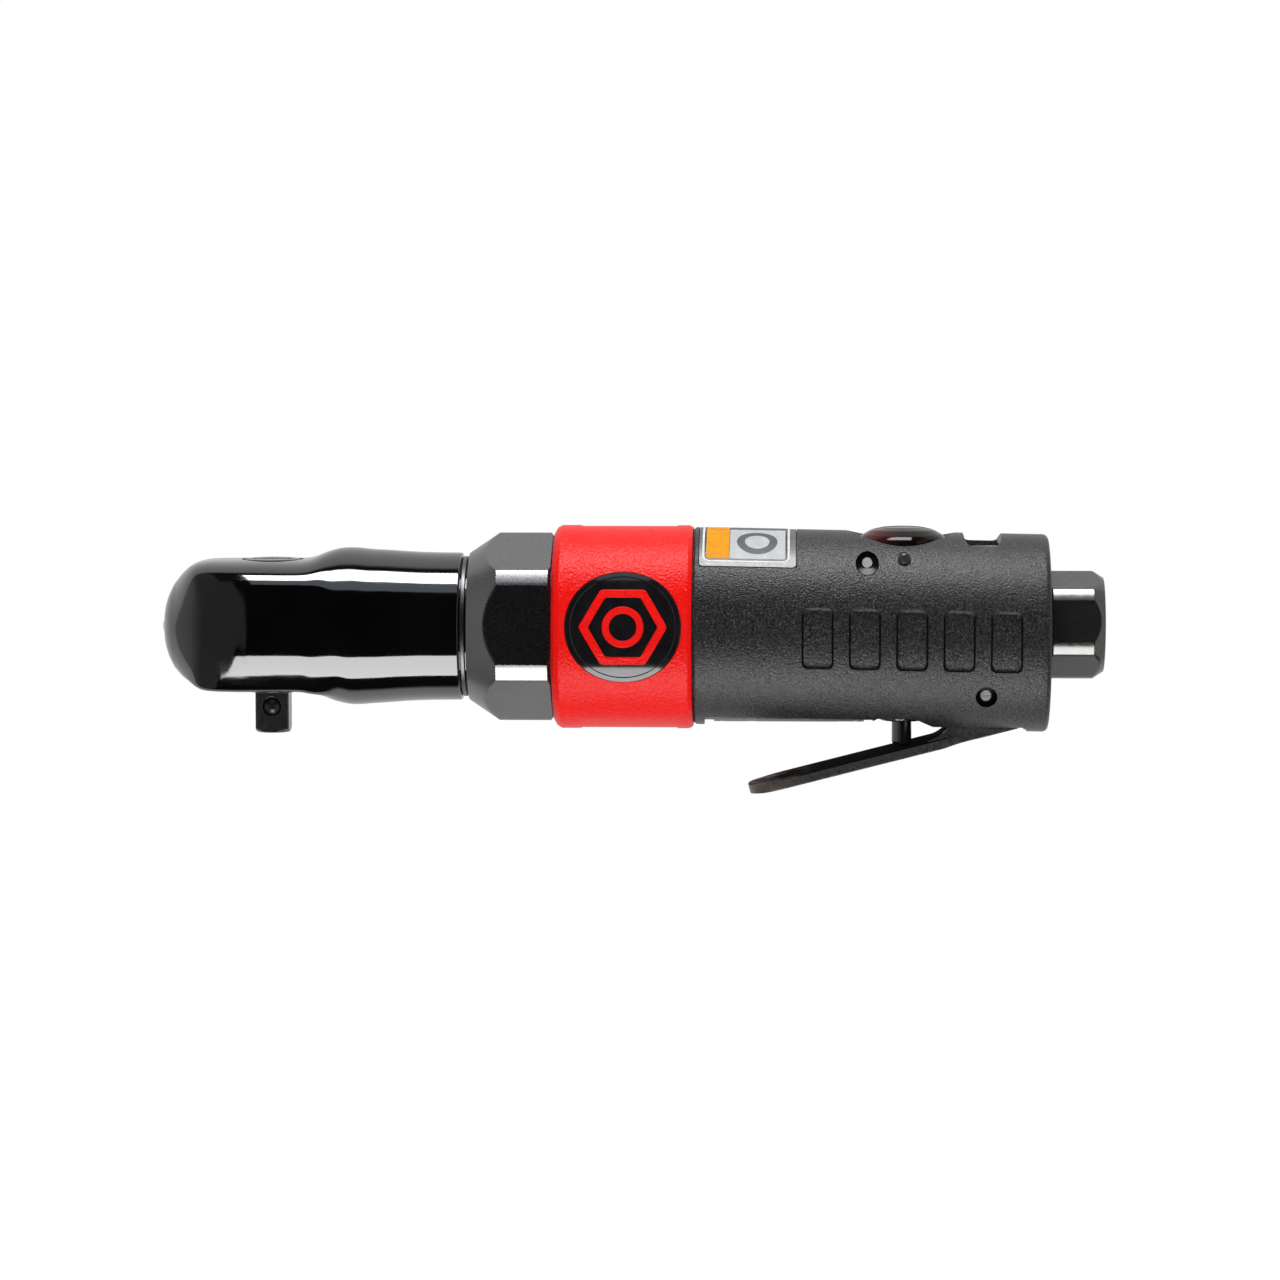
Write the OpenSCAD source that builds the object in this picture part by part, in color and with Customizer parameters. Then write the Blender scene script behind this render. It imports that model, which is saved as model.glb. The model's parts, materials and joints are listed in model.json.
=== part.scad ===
// Air ratchet with a quarter-inch square drive, built as an assembly.
// X runs from the ratchet head (front) to the air inlet (rear), Z points up and
// the square drive points down. The origin is the centre of the drive's end face.
// Inside the modules Z is counted from the tool axis, and lift() puts it
// at its height over the end face.

/* [Drive] */
// Height of the tool axis over the end face of the square drive
axis_z = 20.2; // [20:0.1:20.6]
// Square drive across flats
drive_af = 6.35; // [6.2:0.01:6.4]
// Radius of the detent ball
ball_r = 1.75; // [1.6:0.05:1.75]
// Teeth inside the ratchet ring
ratchet_teeth = 36; // [30:1:40]

/* [Head] */
// Largest radius of the head
head_r = 15; // [14.8:0.1:15.3]
// Height of the flat on top of the head
head_top = 12.7; // [12.5:0.1:12.9]
// Depth of the flat under the head
head_bottom = 12.0; // [11.8:0.1:12.2]

/* [Clamp nut] */
// Radius of the turned nut
nut_r = 17.95; // [17.5:0.05:18.4]
// Nut across flats
nut_af = 32.4; // [32:0.1:33]

/* [Body] */
// Radius of the coloured band
band_r = 19.3; // [19:0.1:19.6]
// Radius of the grip shell
shell_r = 18.7; // [18.5:0.1:18.9]
// Droop of the grip shell towards its rear end, in degrees
shell_tilt = 1.07; // [0.8:0.01:1.2]
// Distance of the badge centre behind the square drive
badge_x = 67.3; // [60:0.1:74]
// Pitch of the side recesses
recess_pitch = 8.79; // [8.6:0.01:9.2]

/* [Throttle] */
// Thickness of the lever plate
lever_t = 1.65; // [1.4:0.05:1.7]
// Width of the lever paddle
lever_w = 16; // [14:0.5:17]
// Radius of the valve stem
stem_r = 1.87; // [1.7:0.01:1.88]
// Radius of the regulator knob
dial_r = 8.2; // [7.8:0.1:8.5]

/* [Air inlet] */
// Across flats of the inlet bushing
inlet_af = 18.8; // [18.4:0.1:19.2]
// Minor radius of the inlet thread
inlet_minor_r = 5.72; // [5.5:0.01:5.9]

/* [Gears] */
// Gear module
gear_module = 0.6; // [0.6:0.01:0.6]
// Gear pressure angle
pressure_angle = 25; // [24:1:26]

/* [Hidden] */
$fn = 72;

// Colours shared by several pieces
steel = [0.5, 0.5, 0.52];
light_steel = [0.6, 0.6, 0.62];
bright_steel = [0.75, 0.75, 0.78];
ring_steel = [0.3, 0.3, 0.31];
bronze = [0.7, 0.55, 0.3];
black = [0.05, 0.05, 0.05];

// Cylinders along X, along Y and along Z.
module rod(x0, x1, r) translate([x0, 0, 0]) rotate([0, 90, 0]) cylinder(h = x1 - x0, r = r);
module bar(y0, y1, r) translate([0, y0, 0]) rotate([-90, 0, 0]) cylinder(h = y1 - y0, r = r);
module post(z0, z1, r) translate([0, 0, z0]) cylinder(h = z1 - z0, r = r);
module tube_x(x0, x1, outer_r, inner_r) difference() {
  rod(x0, x1, outer_r);
  rod(x0 - 1, x1 + 1, inner_r);
}
module tube_z(z0, z1, outer_r, inner_r) difference() {
  post(z0, z1, outer_r);
  post(z0 - 1, z1 + 1, inner_r);
}
module box(x0, x1, y0, y1, z0, z1) translate([x0, y0, z0]) cube([x1 - x0, y1 - y0, z1 - z0]);

// Bodies turned about X from points [radius, X], and about Z from [radius, Z].
module turn(points) rotate([0, 90, 0]) rotate_extrude() polygon(points);
module turn_z(points) rotate_extrude() polygon(points);
// Outline of points [X, Z] given a thickness along Y.
module side(points, y0, y1)
  translate([0, y1, 0]) rotate([90, 0, 0]) linear_extrude(height = y1 - y0) polygon(points);
// Flat shape drawn about Z, turned to run along X.
module along_x(x0, x1)
  translate([x0, 0, 0]) rotate([0, 90, 0]) linear_extrude(height = x1 - x0) children();
// Hexagonal bar along X, rolled about it.
module hex_x(x0, x1, across_flats, roll)
  rotate([roll, 0, 0]) translate([x0, 0, 0]) rotate([0, 90, 0])
    cylinder(h = x1 - x0, r = across_flats / 2 / cos(30), $fn = 6);
// Seal ring about Z.
module seal_ring(ring_r) rotate_extrude() translate([ring_r, 0]) circle(r = 0.5, $fn = 24);

function polar(r, angle) = [r * cos(angle), r * sin(angle)];

// Part of a tube along X, to both sides of an angle counted from +Y towards +Z.
module tube_sector(x0, x1, inner_r, outer_r, middle, half_angle) intersection() {
  tube_x(x0, x1, outer_r, inner_r);
  translate([x0, 0, 0]) rotate([90, 0, 90]) linear_extrude(height = x1 - x0)
    polygon([[0, 0], polar(60, middle - half_angle), polar(60, middle + half_angle)]);
}

// Wire coil about Z, its wire centre from z0 to z1.
module coil(coil_r, wire_r, z0, z1, turns) {
  steps = 14 * turns;
  corners = 8;
  points = [for (i = [0:steps], j = [0:corners - 1])
    let (along = 360 * turns * i / steps,
      around = 360 * j / corners,
      r = coil_r + wire_r * cos(around))
    [r * cos(along), r * sin(along), z0 + (z1 - z0) * i / steps + wire_r * sin(around)]];
  faces = concat(
    [[for (j = [0:corners - 1]) j]],
    [for (i = [0:steps - 1], j = [0:corners - 1])
      let (here = i * corners, ahead = here + corners, next = (j + 1) % corners)
      [here + j, ahead + j, ahead + next, here + next]],
    [[for (j = [corners - 1:-1:0]) steps * corners + j]]);
  polyhedron(points = points, faces = faces, convexity = 8);
}

// Copies spaced evenly about the X axis.
module around_x(count) for (i = [0:count - 1]) rotate([360 * i / count, 0, 0]) children();
// Moves a piece drawn about the tool axis to its height.
module lift() translate([0, 0, axis_z]) children();

// ---- Ratchet head ----
neck_r = 12.5;
rear_bore_r = 11;
grease_r = 1.5;
journal_r = 5.3;
journal_bore_r = 5.36;
bushing_r = 8.6;
ring_groove = [-11.4, -10.5]; // Z span of the anvil's retaining ring
ring_groove_r = 9.2;
detent_z = -15.2;
pawl_x = 4.2;
module at_detent() translate([0, 0, detent_z]) children();
module pawl_pin_shape(half_length, r) translate([pawl_x, 0, 0]) post(-half_length, half_length, r);

// Head: turned forging with a flat above and below the drive.
module ratchet_housing() {
  // radius, X
  turned = [[0, -20.4], [3.4, -20.35], [4.9, -20.05], [6.6, -19.5], [8.3, -18.6],
    [10.2, -17], [11.5, -15.5], [12.5, -14], [13.3, -12], [13.9, -9.5], [14.4, -6],
    [14.7, -2], [head_r - 0.1, 4], [head_r, 10], [head_r, 16], [14.7, 20], [14.45, 24],
    [14.2, 29], [14.0, 35.4], [13.7, 36.0], [13.1, 36.3], [0, 36.3]];
  // X, Z
  flats = [[-22, -10.8], [-15.6, -10.9], [-13.8, -11.7], [-12.2, -head_bottom],
    [4, -head_bottom + 0.1], [7, -head_bottom - 0.1], [9, -12.8], [11, -14.1],
    [13.4, -14.8], [15, -16], [37, -16], [37, 16], [15, 16], [13.4, 15.05], [11, 14.35],
    [9, 13.55], [7, 12.9], [4, head_top], [-12.5, head_top], [-14.1, 12.3],
    [-15.6, 11.5], [-17.2, 10.2], [-22, 7]];
  cavity_r = 9.8;
  cavity_z = 4.4;
  color([0.06, 0.06, 0.065]) lift() difference() {
    union() {
      intersection() {
        turn(turned);
        side(flats, -20, 20);
      }
      rod(30, 46, neck_r);
    }
    // yoke cavity and rear bore
    post(-cavity_z, cavity_z, cavity_r);
    box(0, 21, -cavity_r, cavity_r, -cavity_z, cavity_z);
    rod(20.5, 47, rear_bore_r);
    // bores for the anvil and the reverse knob
    post(-16, -4, bushing_r);
    post(ring_groove[0], ring_groove[1], ring_groove_r);
    post(4, 8.8, journal_bore_r);
    post(8.7, 16, 5.85);
    // snap ring groove
    tube_x(44.5, 45.9, 14, 12);
    // grease hole in the nose
    rod(-22, -9, grease_r);
  }
}
module grease_plug() color([0.55, 0.55, 0.56]) lift() union() {
  turn([[0, -21], [0.95, -20.97], [1.5, -20.8], [1.75, -20.55], [1.75, -20.42], [0, -20.42]]);
  rod(-20.45, -12.5, grease_r);
}
module neck_ring() color([0.72, 0.72, 0.73]) lift()
  turn([[neck_r, 36.4], [13.1, 36.4], [13.3, 36.6], [13.3, 37.1], [13.1, 37.35], [neck_r, 37.35]]);

// Reverse knob: slotted disc in the top of the head, on a long stem.
module reverse_knob() color(steel) lift() difference() {
  union() {
    post(8.9, 12.6, 5.75);
    post(12.6, 13.0, 5.5);
    post(-3.2, 9, 1.8);
  }
  box(-3.6, 3.6, -0.9, 0.9, 12.0, 14);
  // plunger bore
  rod(-0.9, 3, 0.85);
}
module pawl_plunger() color([0.7, 0.7, 0.72]) lift() union() {
  rod(1.05, 2.5, 0.8);
  turn([[0, 2.45], [0.8, 2.5], [0.65, 2.72], [0.35, 2.84], [0, 2.86]]);
}
module pawl_spring() color(bright_steel) lift() rotate([0, 90, 0])
  coil(coil_r = 0.5, wire_r = 0.13, z0 = -0.72, z1 = 0.88, turns = 4);

// Anvil: square drive, two journals and the drum that holds the pawl.
module anvil() color(steel) lift() difference() {
  half = drive_af / 2;
  union() {
    intersection() {
      box(-half, half, -half, half, -axis_z, -12);
      turn_z([[0, -axis_z], [3.5, -axis_z], [4.2, -axis_z + 0.9], [4.3, -12], [0, -12]]);
    }
    post(-12.5, 8.5, journal_r);
    post(-4.2, 4.2, 6.3);
  }
  // bore for the knob's stem
  post(-3.5, 9, 1.9);
  // pocket for the pawl, open to the ring, and the plunger's window
  box(2.7, 8, -5.4, 5.4, -3.1, 3.1);
  box(0, 3, -2.0, 2.0, -1.1, 1.1);
  pawl_pin_shape(3.9, 0.9);
  at_detent() bar(-4, 1.25, 1.8);
}
module detent_ball() color([0.8, 0.8, 0.82]) lift()
  at_detent() translate([0, -2.1, 0]) sphere(r = ball_r);
module detent_spring() color(bright_steel) lift() at_detent() rotate([-90, 0, 0])
  coil(coil_r = 1.15, wire_r = 0.18, z0 = -0.42, z1 = 1.0, turns = 3);
// Two-ended pawl that rocks on its pin.
module pawl() {
  // X, Y
  outline = [[3.2, -1.2], [3.9, -3.5], [4.3, -4.5], [4.7, -4.5], [5.4, -2.5], [5.45, 0],
    [5.4, 2.5], [4.7, 4.5], [4.3, 4.5], [3.9, 3.5], [3.2, 1.2]];
  color([0.55, 0.55, 0.57]) lift() difference() {
    translate([0, 0, -3]) linear_extrude(height = 6) polygon(outline);
    pawl_pin_shape(4, 0.94);
  }
}
module pawl_pin() color(bright_steel) lift() pawl_pin_shape(3.9, 0.9);
module anvil_bushing() color(bronze) lift() tube_z(-10.4, -5.2, bushing_r, journal_bore_r);
module anvil_retaining_ring() color(ring_steel) lift() difference() {
  tube_z(ring_groove[0], ring_groove[1], ring_groove_r, 6.9);
  box(-2.2, 2.2, -12, -4, -12, -10);
}
module thrust_washer() color([0.72, 0.6, 0.35]) lift() tube_z(-5.1, -4.5, 8.5, 5.45);

// Yoke: toothed ring with a forked arm that the crank swings.
module ratchet_yoke() {
  root_r = 7.7;
  tip_r = 6.95;
  color([0.45, 0.45, 0.47]) lift()
    translate([0, 0, -4]) linear_extrude(height = 8) difference() {
      union() {
        circle(r = 9.2);
        translate([0, -7.2]) square([22, 14.4]);
        translate([20, -8.3]) square([12.2, 16.6]);
      }
      polygon([for (t = [0:ratchet_teeth - 1]) each [
        polar(tip_r, 360 * t / ratchet_teeth),
        polar(root_r, 360 * (t + 0.5) / ratchet_teeth)]]);
      translate([24.3, -6.3]) square([10, 12.6]);
    }
}

// ---- Crank and planetary reduction ----
crank_offset = 1.4;
needle_r = 7;
sun_teeth = 12;
planet_teeth = 12;
ring_teeth = 36;
planet_count = 3;
planet_pin_r = 1.2;
flange_x = 46.2; // front of the planet carrier flange
gear_x = 48.0; // front of the sun and planet teeth

function pitch_r(count) = gear_module * count / 2;
planet_orbit_r = pitch_r(sun_teeth) + pitch_r(planet_teeth);
module at_orbit() translate([0, 0, planet_orbit_r]) children();

// Involute angle at radius r over the base radius, in degrees.
function involute(r, base_r) = r <= base_r ? 0 :
  let (a = acos(base_r / r)) tan(a) * 180 / PI - a;
// Half a tooth's angle at radius r; slack widens it.
function half_tooth(count, r, slack) = let (base_r = pitch_r(count) * cos(pressure_angle))
  90 / count + slack + involute(pitch_r(count), base_r) - involute(r, base_r);
// Outline of teeth that reach from start_r to end_r.
function teeth(count, start_r, end_r, slack) =
  let (radii = [for (i = [0:4]) start_r + (end_r - start_r) * i / 4])
  [for (t = [0:count - 1]) let (middle = 360 * t / count) each concat(
    [for (i = [0:4]) polar(radii[i], middle - half_tooth(count, radii[i], slack))],
    [for (i = [4:-1:0]) polar(radii[i], middle + half_tooth(count, radii[i], slack))])];
// Outline of a gear with its teeth outside.
module outer_gear(count) polygon(teeth(count, pitch_r(count) - gear_module,
  pitch_r(count) + 0.8 * gear_module, slack = -0.6));

module crank_bushing() color(bronze) lift()
  translate([0, 0, crank_offset]) tube_x(26, 33.8, 3.2, 2.04);
// Crankshaft: eccentric pin in front, planet carrier flange behind.
module crankshaft() color(steel) lift() difference() {
  union() {
    translate([0, 0, crank_offset]) rod(25.8, 34.4, 2);
    rod(34.2, 36.4, 5.5);
    rod(36.3, 46.3, 5);
    rod(flange_x, 47.8, 9.5);
  }
  around_x(planet_count) at_orbit() rod(46, 48, planet_pin_r);
}
module planet_pins() color(bright_steel) lift()
  around_x(planet_count) at_orbit() rod(flange_x, 53.3, planet_pin_r);
module bearing_carrier() color(light_steel) lift() tube_x(36.8, 45.4, rear_bore_r, needle_r);
module crank_needle_bearing() color(bright_steel) lift() tube_x(37, 45.2, needle_r, 5.03);
module nut_retaining_ring() color(ring_steel) lift() difference() {
  tube_x(44.55, 45.85, 13.9, 12.02);
  box(44, 46.5, -2, 2, -16, -8);
}

// Clamp nut: turned, with a front cone and six flats.
module clamp_nut() {
  // radius, X
  outline = [[0, 37.6], [13.3, 37.6], [13.75, 37.75], [14.05, 38.05], [nut_r - 0.25, 43.3],
    [nut_r, 43.75], [nut_r, 53.1], [nut_r - 0.4, 53.5], [0, 53.5]];
  color([0.45, 0.45, 0.46]) lift() difference() {
    intersection() {
      turn(outline);
      hex_x(37, 54, nut_af, roll = -5.5);
    }
    rod(37, 44, 12.7);
    rod(43.5, 54, 15);
  }
}

module ring_gear() color(steel) lift() along_x(47.9, 54.0) difference() {
  ring_r = pitch_r(ring_teeth);
  circle(r = 12.55);
  circle(r = ring_r - 0.8 * gear_module);
  rotate(180 / ring_teeth)
    polygon(teeth(ring_teeth, ring_r - 0.9 * gear_module, ring_r + gear_module, slack = 0.1));
}
module planet_gear(index) color(light_steel) lift()
  rotate([360 * index / planet_count, 0, 0]) at_orbit()
    along_x(gear_x, 53.0) difference() {
      rotate(180 / planet_teeth) outer_gear(planet_teeth);
      circle(r = 1.25);
    }
module planet_gear_1() planet_gear(0);
module planet_gear_2() planet_gear(1);
module planet_gear_3() planet_gear(2);

// ---- Motor ----
case_bore_r = 13.5;
plate_r = 13.45;
boss_r = 10.5;
bearing_r = 8;
shaft_r = 4.13;
liner_front = 62;
liner_rear = 90;
vane_count = 5;
shell_bore_r = 16.05;

// Places of the valve, the inlet axis and the cross pins
valve_x = 119.6;
module at_valve() translate([valve_x, 0, 0]) children();
module at_inlet() translate([0, 0, 0.6]) children();
module at_housing_pin() translate([112.8, 0, 13]) children();
module at_lever_pin() translate([135.1, 0, -11.8]) children();
module at_regulator_pin() translate([valve_x + 0.1, 0, 13.8]) children();
housing_pin_r = 0.95;
lever_pin_r = 1.0;
regulator_pin_r = 1.15;
valve_bore_r = 5.6;

// Motor case: nose for the nut, motor bore and solid valve body behind.
module motor_case() color([0.35, 0.35, 0.36]) lift() difference() {
  union() {
    rod(46.6, 55, 14.9);
    rod(54.6, 145.8, 16);
  }
  rod(46, 55, 12.6);
  rod(54.6, 98, case_bore_r);
  // valve and regulator bores
  at_valve() {
    post(-17, 8, valve_bore_r);
    post(7.9, 17, 6.5);
    post(15.0, 17, 8.8);
  }
  // inlet bore and passages
  at_inlet() {
    rod(133.9, 146, 8.4);
    rod(valve_x, 134, 4);
  }
  translate([0, 0, -7]) rod(97, valve_x, 1.8);
  for (s = [-1, 1]) translate([0, 8.2 * s, 9.6]) rod(97, 130, 1.5);
  // exhaust chamber, lever slot and pin holes
  box(129, 140.3, -9, 9, 10.6, 17);
  box(126.4, 143.2, -5.7, 5.7, -17, -8.9);
  at_housing_pin() bar(-17, 17, housing_pin_r);
  at_lever_pin() bar(-17, 17, lever_pin_r);
  at_regulator_pin() bar(-17, -5, regulator_pin_r);
}
module front_end_plate() color(light_steel) lift() difference() {
  union() {
    rod(54.7, 59, boss_r);
    rod(58.9, 61.9, plate_r);
  }
  rod(54, 63, 4.5);
  rod(55.5, 59.5, bearing_r);
}
// Ball bearing drawn as one ring with a groove in each face.
module bearing_ring(x0, x1) difference() {
  tube_x(x0, x1, bearing_r, shaft_r + 0.03);
  for (x = [x0 - 0.6, x1 - 0.4]) tube_x(x, x + 1, 6.9, 5.2);
}
module front_bearing() color(bright_steel) lift() bearing_ring(55.55, 59.45);
module cylinder_liner() color(light_steel) lift() difference() {
  rod(liner_front, liner_rear, 13.4);
  // motor chamber, set above the tool axis
  translate([0, 0, 0.9]) rod(liner_front - 1, liner_rear + 1, 10);
  for (x = [70, 76, 82]) translate([x, 0, 0]) bar(8, 15, 1.6);
}
// Rotor with its front pinion and vane slots.
module rotor() color(steel) lift() difference() {
  union() {
    along_x(gear_x, 53.6) outer_gear(sun_teeth);
    rod(53.5, 55, 2.9);
    rod(54.9, 62.2, shaft_r);
    rod(liner_front + 0.1, liner_rear - 0.1, 9);
    rod(89.8, 97.3, shaft_r);
  }
  around_x(vane_count) box(liner_front, liner_rear, -0.6, 0.6, 4.6, 10);
}
module rotor_vanes() color([0.35, 0.25, 0.18]) lift()
  around_x(vane_count) box(liner_front + 0.2, liner_rear - 0.2, -0.56, 0.56, 4.7, 8.9);
module rear_end_plate() color(light_steel) lift() difference() {
  union() {
    rod(90.1, 93.2, plate_r);
    rod(93.1, 97.4, boss_r);
  }
  rod(89, 98, 4.5);
  rod(93.1, 97.15, bearing_r);
  translate([0, 0, -8.9]) rod(89, 98, 1.4);
}
module rear_bearing() color(bright_steel) lift() bearing_ring(93.2, 97.1);

// ---- Band and grip shell ----
badge_r = 11;
// The badge faces -Y, rolled slightly about the tool axis.
module at_badge() rotate([-4.4, 0, 0]) translate([badge_x, 0, 0]) children();

// Coloured band with a pocket for its round badge.
module color_band() {
  // radius, X
  outline = [[15.2, 53.8], [18.0, 53.8], [18.7, 54.15], [band_r - 0.1, 54.75],
    [band_r, 55.3], [band_r, 79.7], [band_r - 0.3, 80.1], [shell_bore_r, 80.1],
    [shell_bore_r, 54.6], [15.2, 54.6]];
  color([0.6, 0.03, 0.05]) lift() difference() {
    turn(outline);
    at_badge() difference() {
      bar(-22, -10, badge_r + 0.05);
      rod(-13, 13, band_r - 0.45);
    }
  }
}
module band_badge() color(black) lift() at_badge() intersection() {
  bar(-22, -10, badge_r);
  tube_x(-12, 12, band_r + 0.1, band_r - 0.4);
}

shell_front = 80.2;
label_seat_r = shell_r - 0.25;
under_seat_r = 17.6;
// Grip shell frame: local X runs down the drooping shell axis.
module shell_frame() translate([shell_front, 0, 0.25]) rotate([0, shell_tilt, 0]) children();

// Recess number i on the +Y side (s = 1) or the -Y side (s = -1).
module side_recess(i, s) {
  x = 23.35 + i * recess_pitch;
  half_length = 2.84;
  difference() {
    box(x - half_length, x + half_length, s > 0 ? 14 : -20, s > 0 ? 20 : -14, -6.05, 5.15);
    rod(x - 4, x + 4, shell_r - 0.45);
  }
}
// Outer grip shell with slots, recesses and label pockets.
module grip_shell() {
  // radius, local X
  outline = [[0, -3], [shell_r - 0.3, -3], [shell_r - 0.3, 0.2], [shell_r, 0.6],
    [shell_r, 64.9], [shell_r - 0.15, 65.7], [shell_r - 0.55, 66.4],
    [shell_r - 1.2, 66.85], [shell_r - 1.9, 67.0], [0, 67.0]];
  color([0.09, 0.09, 0.095]) lift() difference() {
    intersection() {
      shell_frame() turn(outline);
      box(shell_front, 147.1, -25, 25, -25, 25);
    }
    rod(79, 145.9, shell_bore_r);
    at_inlet() rod(145, 149, 8.8);
    // lower label seat, flats under the grip and lever slot
    tube_sector(82.2, 114, under_seat_r, 25, middle = 270, half_angle = 28.5);
    box(113.9, 125, -20, 20, -25, -17.0);
    box(124.9, 142.4, -20, 20, -25, -18.4);
    box(121.5, 143.2, -5.7, 5.7, -25, -8);
    // openings for the valve bushing and the regulator
    at_valve() {
      post(-20, -14, 4.6);
      post(12, 16, 6.6);
      post(15.1, 25, 8.8);
      turn_z([[0, 17.2], [9.2, 17.2], [12.6, 19.4], [0, 19.4]]);
    }
    // exhaust slot in a flat, and pin holes
    box(131.6, 137.6, -8.2, 8.2, 8, 25);
    box(131.4, 137.7, -20, 20, 16.35, 25);
    at_housing_pin() bar(-25, 25, 2.15);
    at_lever_pin() bar(-25, 25, 2.0);
    at_regulator_pin() bar(-25, -5.5, 1.2);
    shell_frame() for (i = [0:4], s = [-1, 1]) side_recess(i, s);
    // seat of the upper label
    shell_frame()
      tube_sector(1.1, 19.4, label_seat_r, shell_r + 2, middle = 90, half_angle = 49);
  }
}
module upper_label() color([0.75, 0.75, 0.75]) lift() shell_frame()
  tube_sector(1.2, 19.3, label_seat_r, shell_r + 0.05, middle = 90, half_angle = 49);
module lower_label() color(black) lift()
  tube_sector(84, 112.4, under_seat_r, 17.9, middle = 270, half_angle = 27);

// ---- Cross pins ----
module housing_pin() color(light_steel) lift() at_housing_pin() bar(-10.6, 10.6, housing_pin_r);
// Lever pin with a slot across each end.
module lever_pin() color(light_steel) lift() at_lever_pin() difference() {
  bar(-11.6, 11.6, lever_pin_r);
  for (y = [-12, 10.9]) box(-1.2, 1.2, y, y + 1.1, -0.15, 0.15);
}
module regulator_pin() color(light_steel) lift() at_regulator_pin() rotate([90, 0, 0])
  turn_z([[0, 6.6], [regulator_pin_r, 6.6], [regulator_pin_r, 12.9], [0.85, 13.25],
    [0.45, 13.4], [0, 13.42]]);

// ---- Throttle ----
lever_slope = (31.5 - 20.3) / (135 - 91.6);
root_y = 5.4; // half width of the lever's root
ear_t = 1.6;
// Height of the plate's underside.
function lever_z(x) = -31.5 + (x - 91.6) * lever_slope;
module lever_plate(x0, x1, half_width) {
  rise = lever_t / cos(atan(lever_slope));
  side([[x0, lever_z(x0)], [x1, lever_z(x1)], [x1, lever_z(x1) + rise],
    [x0, lever_z(x0) + rise]], -half_width, half_width);
}
// Throttle lever: paddle, narrow root and two ears on the pivot pin.
module throttle_lever() {
  // X, Y
  paddle = [[97.7, -8], [97.7, 8], [127, 8], [131, 6.2], [132, 5.4], [132, -5.4],
    [131, -6.2], [127, -8]];
  // X, Z
  ear = [[123.0, -21.9], [126.6, -20.3], [128.9, -18.5], [130.6, -16.2], [132.2, -13.2],
    [132.5, -11.8], [133.0, -10.25], [134.1, -9.45], [135.1, -9.2], [136.4, -9.5],
    [137.4, -10.5], [137.8, -11.8], [139.5, -14.6], [141.9, -17.6], [141.6, -18.6],
    [135.9, -20.1], [124, -23.0]];
  color([0.07, 0.07, 0.07]) lift() difference() {
    union() {
      intersection() {
        lever_plate(90.2, 131, lever_w / 2);
        translate([0, 0, -40]) linear_extrude(height = 40) union() {
          for (y = [-1:1]) translate([97.7, y]) circle(r = 7);
          polygon(paddle);
        }
      }
      lever_plate(130, 136, root_y);
      side([[135.9, -20.1], [141.6, -18.6], [141.9, -17.6], [135.9, -18.5]], -root_y, root_y);
      for (y = [-root_y, root_y - ear_t]) side(ear, y, y + ear_t);
    }
    at_lever_pin() bar(-10, 10, 1.06);
  }
}

// Throttle valve: stem with a round lower end, and the poppet above the seat.
module throttle_valve() color([0.16, 0.16, 0.165]) lift() at_valve() union() {
  tip_z = -22.4 + stem_r;
  translate([0, 0, tip_z]) sphere(r = stem_r);
  post(tip_z, -4.9, stem_r);
  post(-4.97, -3.5, 4.4);
  post(-3.6, -1.2, 1.5);
}
module valve_spring() color(bright_steel) lift() at_valve()
  coil(coil_r = 2.6, wire_r = 0.4, z0 = -3.05, z1 = 3.55, turns = 5);
module valve_bushing() color([0.2, 0.2, 0.21]) lift() at_valve() difference() {
  turn_z([[0, -17.6], [3.9, -17.6], [4.4, -17.35], [4.5, -17.0], [4.5, -14.9],
    [valve_bore_r, -14.9], [valve_bore_r, -5], [0, -5]]);
  post(-19, -4, 1.93);
  post(-9, -4, 3.5);
  translate([0, 0, -7]) rod(-8, 0, 1.5);
}
// Regulator: stepped body below a domed knob.
module regulator_dial() {
  // radius, Z
  knob = [[0, 15.2], [dial_r - 0.3, 15.2], [dial_r, 15.5], [dial_r, 17.3],
    [dial_r - 0.5, 18.1], [dial_r - 1.6, 18.7], [dial_r - 3.6, 19.05],
    [dial_r - 6, 19.2], [0, 19.25]];
  color([0.1, 0.02, 0.03]) lift() at_valve() difference() {
    union() {
      post(4.0, 8.1, 5.55);
      post(8.0, 11.95, 6.45);
      post(11.9, 14.1, 5.7);
      post(14.05, 15.3, 6.45);
      turn_z(knob);
    }
    // seal groove, bore from below and slot on top
    tube_z(5.3, 6.7, 6, 4.5);
    post(3.5, 9, 3.2);
    box(-5.2, 5.2, -0.8, 0.8, 18.2, 20);
  }
}
module regulator_seal() color(black) lift() at_valve() translate([0, 0, 6]) seal_ring(5.03);

// ---- Air inlet and exhaust ----
// Inlet bushing with a hexagon outside and a plain bore for its thread.
module inlet_bushing() color([0.13, 0.13, 0.13]) lift() at_inlet() difference() {
  union() {
    turn([[0, 134], [8.1, 134], [8.38, 134.3], [8.38, 147.2], [0, 147.2]]);
    intersection() {
      turn([[0, 147.15], [9.4, 147.15], [10.2, 147.7], [10.2, 155.6], [9.7, 156.9],
        [9.0, 157.6], [0, 157.6]]);
      hex_x(147, 158, inlet_af, roll = -8.5);
    }
  }
  rod(145.6, 158, inlet_minor_r);
  rod(135.4, 146, 4);
  rod(133, 135.5, 5);
  // seal groove
  tube_x(141.2, 142.5, 9, 7.38);
}
module inlet_screen() color([0.7, 0.7, 0.72]) lift() at_inlet() difference() {
  rod(134.3, 135.2, 4.95);
  rod(134, 136, 0.7);
  around_x(6) translate([0, 0, 2.4]) rod(134, 136, 0.7);
}
module inlet_seal() color(black) lift() at_inlet()
  translate([141.85, 0, 0]) rotate([0, 90, 0]) seal_ring(7.89);
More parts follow.
